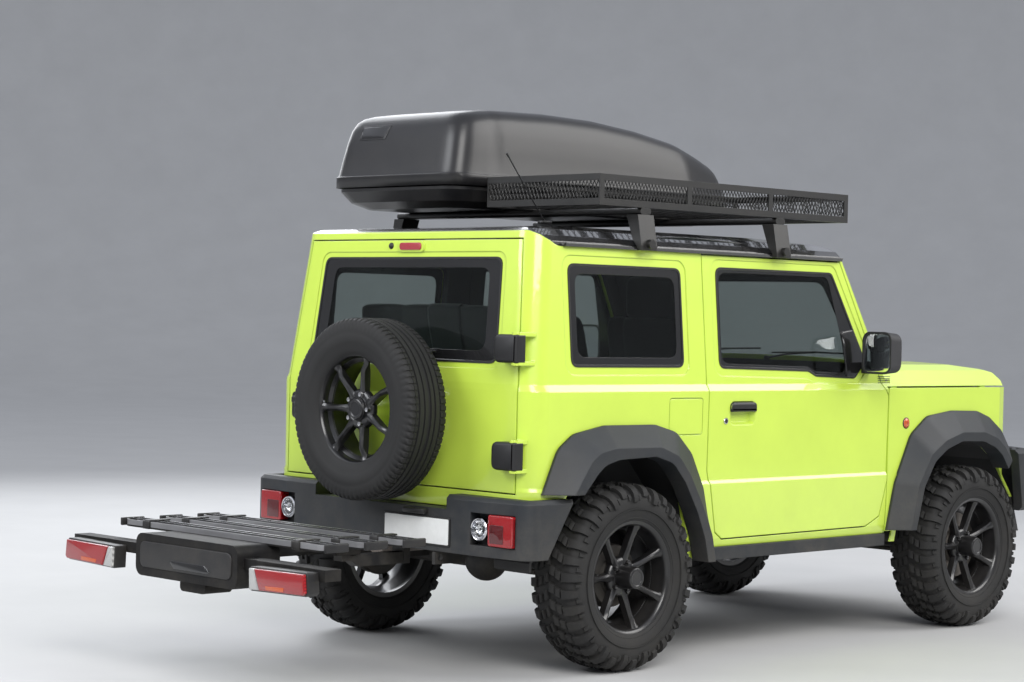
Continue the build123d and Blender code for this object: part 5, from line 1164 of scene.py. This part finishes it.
class OFFROAD_OT_add_roof_gear(bpy.types.Operator):
    """Adds the basket's mesh, the roof box's lid and the aerial"""
    bl_idname = "offroad.add_roof_gear"
    bl_label = "Roof gear"

    def execute(self, context):
        values = context.scene.offroad_roof
        form = Form()
        (x0, x1), (y0, y1), (z0, z1) = BASKET_X, BASKET_Y, BASKET_Z
        sides = [((x0, y, z0), FORWARD, x1 - x0) for y in (y0, y1)] + [((x, y0, z0), (0, 1, 0), y1 - y0)
                                                                       for x in (x0, x1)]
        for corner, across, width in sides:
            expanded_mesh(form, at(*corner), across, UPWARD, width, z1 - z0, values.mesh_cell, SIDE_CELL_TALL,
                          values.mesh_wire)
        expanded_mesh(form, at(x0, y0, BASKET_FLOOR), FORWARD, (0, 1, 0), x1 - x0, y1 - y0, *FLOOR_CELL,
                      values.mesh_wire)
        form.add("expanded_mesh", "rack_black", "root", "rack_black", "basket_mesh")
        form = Form()
        tip = at(-0.400, -0.470, 1.9463)
        form.block(at(-0.152, -0.435, 1.699), (0.060, 0.028, 0.014), 0.006, steps=3)
        form.tube([at(-0.150, -0.435, 1.702), at(-0.170, -0.438, 1.716), tip], 0.0028)
        form.tube([at(-0.388, -0.4685, 1.934), tip], 0.0042)
        form.add("aerial", "black_trim", "root", "rack_black")
        add_box_lid()
        return {"FINISHED"}


# Layers of the carrier's lamp: outline, corner radius, low, high and ease
PLATFORM_LAMP = (
    (((0.400, 0.456), (0.705, 0.461), (0.712, 0.392), (0.700, 0.380), (0.404, 0.372)), 0.006, -0.004, 0.046, 0.003),
    (((0.405, 0.451), (0.432, 0.4515), (0.462, 0.379), (0.409, 0.377)), 0.004, 0.044, 0.058, 0.004),
    (((0.436, 0.4515), (0.699, 0.456), (0.706, 0.394), (0.697, 0.385), (0.466, 0.379)), 0.004, 0.044, 0.060, 0.004),
    (((0.500, 0.398), (0.600, 0.401), (0.600, 0.387), (0.506, 0.385)), 0.003, 0.056, 0.0612, 0.001))
TRAY_X = (-1.300, -1.120, -0.940)


class OFFROAD_OT_add_carrier(bpy.types.Operator):
    """Adds the carrier's lamps, cover and straps"""
    bl_idname = "offroad.add_carrier"
    bl_label = "Towball carrier"

    def execute(self, context):
        form = Form()
        for hand in SIDES.values():
            form.layers(3, *((flat(-1.470, hand=hand), *layer) for layer in PLATFORM_LAMP))
        form.add("platform_lamps", ("carrier_black", "white_lens", "red_lens", "orange_lens"), "root", "red_lens",
                 "carrier_lamps")
        form = Form()
        form.patch(flat(-1.4945), rounded(rect(-0.27, 0.392, 0.27, 0.486), 0.030, 6), 0, 0.005, 0.003)
        form.tone = 1
        form.patch(flat(-1.4990), rounded(((-0.16, 0.402), (0.06, 0.402), (0.09, 0.430), (-0.12, 0.430)), 0.010),
                   0, 0.004, 0.002)
        for x in TRAY_X:
            for hand in SIDES.values():
                form.tone = 0
                form.block(at(x, hand * 0.600, 0.523), (0.104, 0.014, 0.030), 0.004)
                form.block(at(x, hand * 0.440, 0.538), (0.100, 0.030, 0.006), 0.002)
                form.block(at(x - 0.050, hand * 0.440, 0.522), (0.008, 0.044, 0.030), 0.003)
            form.tone = 1
            for rib in (-0.018, 0.018):
                form.block(at(x + rib, 0, 0.5355), (0.006, 1.15, 0.004), 0.0015)
        form.add("platform_details", ("carrier_black", "black_gloss_plastic"), "root", "carrier_metal")
        return {"FINISHED"}


def across_seat(outline, centre_y, half, seams):
    """Padded part with a side outline, swept across the car with seams at shares of its half width."""
    stations = [(-1.0, 0.026), (-0.975, 0.010), (-0.92, 0.002)]
    for seam in seams:
        stations += [(-seam - 0.05, -0.001), (-seam, 0.010), (-seam + 0.05, 0.001)]
    stations += [(-0.25, -0.004)]
    stations += [(0.0, -0.006)] + [(-t, inset) for t, inset in reversed(stations)]
    form = Form()
    form.rings([[at(x, centre_y + half * t, z) for x, z in grown(outline, -inset)] for t, inset in stations])
    return form


SEAT_X, SEAT_Y, HEADREST_X = 1.000, 0.340, 0.592
# Side outlines of the padding, with half widths and the places of its seams
SEAT_PADS = {
    "seat_cushion": (((0.700, 0.705), (0.960, 0.700), (1.225, 0.700), (1.248, 0.740), (1.246, 0.785),
                      (1.215, 0.825), (1.090, 0.818), (0.980, 0.808), (0.880, 0.801), (0.780, 0.800),
                      (0.705, 0.790)), 0.248, (0.58,)),
    "seat_back": (((0.690, 0.735), (0.740, 0.770), (0.775, 0.805), (0.745, 0.880), (0.722, 1.000), (0.690, 1.130),
                   (0.664, 1.240), (0.640, 1.325), (0.605, 1.350), (0.566, 1.346), (0.556, 1.290), (0.578, 1.170),
                   (0.600, 1.060), (0.620, 0.960), (0.640, 0.860), (0.662, 0.800)), 0.248, (0.62,)),
    "headrest": (rounded(rect(0.546, 1.335, 0.638, 1.515), 0.040, 4), 0.128, ()),
}
BENCH_HALF, BENCH_SEAMS = 0.518, (0.5, 0.12)
BENCH_PADS = {
    "bench_cushion": ((-0.120, 0.862), (0.120, 0.864), (0.370, 0.868), (0.394, 0.900), (0.398, 0.950),
                      (0.378, 0.977), (0.250, 0.971), (0.100, 0.962), (-0.040, 0.952)),
    "bench_back": ((-0.120, 0.872), (-0.045, 0.955), (-0.078, 1.050), (-0.112, 1.150), (-0.150, 1.260),
                   (-0.182, 1.350), (-0.212, 1.378), (-0.262, 1.376), (-0.268, 1.340), (-0.240, 1.220),
                   (-0.200, 1.100), (-0.160, 0.980)),
}


def add_pad(form, name, swaps):
    """Padded piece of seat cloth, smoothed over its rings."""
    form.add(name, "seat_fabric", "root", "seat_fabric", swaps, angle=180, smooth=2)


class OFFROAD_OT_add_seats(bpy.types.Operator):
    """Adds the padded front seats and rear bench"""
    bl_idname = "offroad.add_seats"
    bl_label = "Seats"

    def execute(self, context):
        for side, hand in SIDES.items():
            y = hand * SEAT_Y
            swaps = "front_seats" if side == "left" else ()
            for name, (outline, half, seams) in SEAT_PADS.items():
                add_pad(across_seat(outline, y, half, seams), f"{name}_{side}", swaps)
            form = Form()
            form.block(at(SEAT_X, y, 0.6290), (0.420, 0.360, 0.140), 0.020, steps=3)
            form.block(at(0.960, y + hand * 0.262, 0.755), (0.300, 0.020, 0.090), 0.009, steps=3)
            for post in (-0.055, 0.055):
                form.tube([at(HEADREST_X, y + post, z) for z in (1.320, 1.350)], 0.007, 12)
            form.add(f"seat_base_{side}", "trim_plastic", "root", "seat_fabric", swaps)
        for name, outline in BENCH_PADS.items():
            add_pad(across_seat(outline, 0.0, BENCH_HALF, BENCH_SEAMS), name, "rear_seat")
        form = Form()
        form.block(at(0.120, 0, 0.7520), (0.420, 0.900, 0.218), 0.020, steps=3)
        form.add("bench_base", "trim_plastic", "root", "seat_fabric", "rear_seat")
        return {"FINISHED"}


SPRING_WIRE, SPRING_MEAN, SPRING_TURNS, SPRING_Y, SPRING_FOOT = 0.0068, 0.0425, 5.0, 0.322, 0.4043


class OFFROAD_OT_add_springs(bpy.types.Operator):
    """Adds the wound coil springs with their closed ends"""
    bl_idname = "offroad.add_springs"
    bl_label = "Coil springs"

    def execute(self, context):
        form = Form()
        count = int(SPRING_TURNS * 18)
        for x, top in ((0.0, 0.5297), (WHEELBASE, 0.5597)):
            for hand in SIDES.values():
                points = []
                for k in range(count + 1):
                    share = k / count
                    climb = min(max((share * SPRING_TURNS - 0.75) / (SPRING_TURNS - 1.5), 0.0), 1.0)
                    a = 2 * pi * SPRING_TURNS * share
                    points.append(at(x + SPRING_MEAN * cos(a), hand * SPRING_Y + SPRING_MEAN * sin(a),
                                     lerp(SPRING_FOOT + SPRING_WIRE, top - SPRING_WIRE, climb)))
                form.tube(points, SPRING_WIRE)
        form.add("wound_springs", "spring_steel", "root", "spring_steel", "coil_springs")
        return {"FINISHED"}


BATTERY_X, BATTERY_Y, BATTERY_Z, TRAY_Z = 2.140, 0.500, 0.955, 0.868


class OFFROAD_OT_add_engine(bpy.types.Operator):
    """Adds the engine's cover, manifold and pulleys, and the battery"""
    bl_idname = "offroad.add_engine"
    bl_label = "Engine details"

    def execute(self, context):
        low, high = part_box("engine")
        low.x = max(low.x, high.x - 0.62)
        long, wide = high.x - low.x, high.y - low.y
        centre = Vector(((low.x + high.x) / 2, (low.y + high.y) / 2, high.z))
        form = Form()
        form.block(centre + Vector((0, 0, 0.011)), (long * 0.84, wide * 0.42, 0.030), 0.011, steps=4)
        for k in range(5):
            form.block(centre + Vector((0, wide * (k - 2) * 0.075, 0.0275)), (long * 0.74, 0.006, 0.006), 0.002)
        form.tone = 1
        for k in range(4):
            x = centre.x + long * (k - 1.5) * 0.2
            form.tube(curve_through([(x, centre.y + wide * share, high.z + rise) for share, rise in (
                (0.22, 0.010), (0.36, 0.020), (0.52, -0.020), (0.54, -0.09))], 4), 0.016, 12)
        form.lathe([(0.0, 0.0), (0.024, 0.0), (0.024, 0.014), (0.020, 0.018), (0.0, 0.018)],
                   centre + Vector((long * 0.30, 0, 0.024)), UPWARD, 24)
        form.tone = 2
        for y, z, r in ((0.0, -0.10, 0.055), (wide * 0.26, -0.19, 0.040), (-wide * 0.26, -0.17, 0.045)):
            form.lathe([(0.0, 0.0), (r, 0.0), (r, 0.006), (r - 0.006, 0.011), (r, 0.016), (r, 0.022),
                        (r * 0.5, 0.022), (r * 0.4, 0.014), (0.0, 0.014)],
                       (high.x, centre.y + y, high.z + z), FORWARD, 36)
        form.add("engine_details", ("black_trim", "engine_grey", "bright_metal"), "root", "cast_iron")
        form = Form()
        place = at(BATTERY_X, BATTERY_Y, BATTERY_Z)
        form.block(place, (0.180, 0.240, 0.150), 0.008)
        form.block(place + Vector((0, 0, 0.080)), (0.184, 0.244, 0.016), 0.004)
        form.block(at(BATTERY_X, BATTERY_Y, TRAY_Z), (0.210, 0.280, 0.024), 0.006)
        form.tube([at(BATTERY_X, y, TRAY_Z) for y in (0.620, 0.700)], 0.012)
        form.tone = 1
        for y in (-0.08, 0.08):
            form.lathe([(0.0, 0.0), (0.009, 0.0), (0.009, 0.014), (0.0, 0.016)], place + Vector((0.05, y, 0.088)),
                       UPWARD, 16)
        form.add("battery", ("black_trim", "bright_metal"), "root", "tank_plastic")
        return {"FINISHED"}


class OFFROAD_OT_add_cabin(bpy.types.Operator):
    """Adds the instruments, vents, screen and levers of the cabin"""
    bl_idname = "offroad.add_cabin"
    bl_label = "Cabin"

    def execute(self, context):
        form = Form()
        form.block(at(1.420, 0.330, 1.100), (0.110, 0.300, 0.070), 0.020, steps=4)
        form.block(at(1.388, 0.0, 1.020), (0.020, 0.270, 0.140), 0.008, steps=3)
        for y in (0.530, 0.150, -0.150, -0.530):
            form.lathe([(0.038, 0.0), (0.038, 0.010), (0.033, 0.012), (0.030, 0.006), (0.0, 0.005)],
                       at(1.394, y, 0.930), REARWARD, 28)
        form.block(at(1.386, -0.380, 1.020), (0.020, 0.320, 0.030), 0.008, steps=3)
        form.tone = 1
        form.block(at(1.3765, 0.0, 1.022), (0.003, 0.200, 0.100), 0.001)
        for y in (0.275, 0.385):
            form.lathe([(0.052, 0.0), (0.052, 0.003), (0.048, 0.004), (0.046, 0.001), (0.0, 0.001)],
                       at(1.364, y, 1.092), REARWARD, 32)
        form.tone = 0
        for y, x in ((0.0, 1.180), (0.07, 1.050)):
            form.tube([at(x + 0.04, y, 0.640), at(x, y, 0.800)], 0.009, 10)
            form.lathe([(0.0, -0.022), (0.018, -0.018), (0.024, 0.0), (0.018, 0.018), (0.0, 0.022)],
                       at(x, y, 0.806), UPWARD, 20)
        form.block(at(1.115, 0.03, 0.590), (0.420, 0.220, 0.120), 0.030, steps=4)
        form.add("cabin_details", ("trim_plastic", "black_gloss_plastic"), "root", "trim_plastic")
        return {"FINISHED"}


BACKDROP = [(0.0, 0.0), (24.0, 0.0), (27.5, 0.3), (30.5, 1.4), (33.0, 3.6), (35.0, 7.0), (36.0, 11.0),
            (36.0, 16.0)]
LOOK_AT, SKY_COLOUR = Vector((0, 0, 0.9)), (0.86, 0.9, 1.0, 1.0)
# Soft lights: place, width, share of the key light's power, colour
LIGHTS = (
    ((-4.5, -6.5, 6.0), 5.0, 1.0, (1.0, 0.985, 0.96)),
    ((-7.5, 3.0, 5.0), 4.0, 0.55, (0.95, 0.97, 1.0)),
    ((5.5, -5.0, 5.5), 5.0, 0.6, (1.0, 0.98, 0.95)),
    ((2.0, 6.5, 5.0), 5.0, 0.5, (0.95, 0.97, 1.0)),
)
CAMERA_PLACE = (-6.423, -6.630, 1.333)
CAMERA_YAW, CAMERA_PITCH, CAMERA_ROLL = 44.60, -0.60, 1.36
FOCAL_PIXELS, PHOTO_WIDTH, SENSOR_WIDTH, CLIP_END = 2297.0, 1024.0, 36.0, 100.0


def add_camera(context):
    """Camera at the photograph's place, fitted from the rear axle."""
    data = bpy.data.cameras.new("photo_camera")
    data.sensor_width = SENSOR_WIDTH
    data.lens = FOCAL_PIXELS * SENSOR_WIDTH / PHOTO_WIDTH
    data.clip_end = CLIP_END
    camera = bpy.data.objects.new("photo_camera", data)
    yaw, pitch, roll = (radians(v) for v in (CAMERA_YAW, CAMERA_PITCH, CAMERA_ROLL))
    ahead = Vector((sin(yaw) * cos(pitch), cos(yaw) * cos(pitch), sin(pitch)))
    across = Vector((cos(yaw), -sin(yaw), 0))
    up = across.cross(ahead)
    camera.matrix_world = Matrix.Translation(at(*CAMERA_PLACE)) @ Matrix(
        (across * cos(roll) + up * sin(roll), up * cos(roll) - across * sin(roll), -ahead)).transposed().to_4x4()
    context.scene.collection.objects.link(camera)
    context.scene.camera = camera


class OFFROAD_OT_add_stage(bpy.types.Operator):
    """Adds the floor, lights and camera"""
    bl_idname = "offroad.add_stage"
    bl_label = "Stage"

    def execute(self, context):
        values = context.scene.offroad_stage
        form = Form()
        form.lathe(BACKDROP, ORIGIN, UPWARD, 72)
        mesh = form.mesh("studio_floor", weld=1e-5, turn_out=False)
        floor = bpy.data.objects.new("studio_floor", mesh)
        context.scene.collection.objects.link(floor)
        tree, shader = new_material("studio_floor")
        shade = mix_colour(tree, spread(tree, noise(tree, object_place(tree), 1.5, 5.0), 0.3, 0.7),
                           colour4(values.floor), colour4([c * 0.94 for c in values.floor]))
        feed(tree, shader, {"Base Color": shade, "Roughness": 0.7})
        mesh.materials.append(FINISHES["studio_floor"])
        mesh.shade_smooth()
        world = context.scene.world = bpy.data.worlds.new("studio")
        world.use_nodes = True
        feed(world.node_tree, world.node_tree.nodes["Background"], {"Color": SKY_COLOUR, "Strength": values.sky})
        for index, (place, width, share, colour) in enumerate(LIGHTS):
            lamp = bpy.data.lights.new(f"soft_{index}", "AREA")
            lamp.size, lamp.energy, lamp.color = width, values.light * share, colour
            holder = bpy.data.objects.new(f"soft_{index}", lamp)
            holder.location = place
            holder.rotation_euler = (LOOK_AT - Vector(place)).to_track_quat("-Z", "Y").to_euler()
            context.scene.collection.objects.link(holder)
        add_camera(context)
        context.scene.view_settings.view_transform = "Standard"
        return {"FINISHED"}


OPERATORS = (
    OFFROAD_OT_finish_frame,
    OFFROAD_OT_add_mud_tyres,
    OFFROAD_OT_add_rims,
    OFFROAD_OT_add_window_trim,
    OFFROAD_OT_add_door_details,
    OFFROAD_OT_add_tailgate_details,
    OFFROAD_OT_add_spare_wheel,
    OFFROAD_OT_add_rear_lamps,
    OFFROAD_OT_add_front,
    OFFROAD_OT_add_roof_gear,
    OFFROAD_OT_add_carrier,
    OFFROAD_OT_add_seats,
    OFFROAD_OT_add_springs,
    OFFROAD_OT_add_engine,
    OFFROAD_OT_add_cabin,
    OFFROAD_OT_add_stage,
)
PROPERTY_GROUPS = {
    "offroad_paint": OffroadPaint,
    "offroad_tyres": OffroadTyres,
    "offroad_roof": OffroadRoof,
    "offroad_stage": OffroadStage,
}


class OFFROAD_PT_panel(bpy.types.Panel):
    """Sidebar panel with the sizes and the steps in order"""
    bl_label = "Off-road 4x4"
    bl_idname = "OFFROAD_PT_panel"
    bl_space_type = "VIEW_3D"
    bl_region_type = "UI"
    bl_category = "Off-road"

    def draw(self, context):
        layout = self.layout
        for group in PROPERTY_GROUPS:
            box = layout.box()
            values = getattr(context.scene, group)
            for name in values.bl_rna.properties.keys():
                if name not in ("rna_type", "name"):
                    box.prop(values, name)
        for operator in OPERATORS:
            layout.operator(operator.bl_idname)


CLASSES = (*PROPERTY_GROUPS.values(), *OPERATORS, OFFROAD_PT_panel)


def register():
    for cls in CLASSES:
        bpy.utils.register_class(cls)
    for name, cls in PROPERTY_GROUPS.items():
        setattr(bpy.types.Scene, name, PointerProperty(type=cls))


def unregister():
    for name in PROPERTY_GROUPS:
        delattr(bpy.types.Scene, name)
    for cls in reversed(CLASSES):
        bpy.utils.unregister_class(cls)


def main():
    """Runs every step in order."""
    register()
    for operator in OPERATORS:
        group, name = operator.bl_idname.split(".")
        getattr(getattr(bpy.ops, group), name)()


if __name__ == "__main__":
    main()
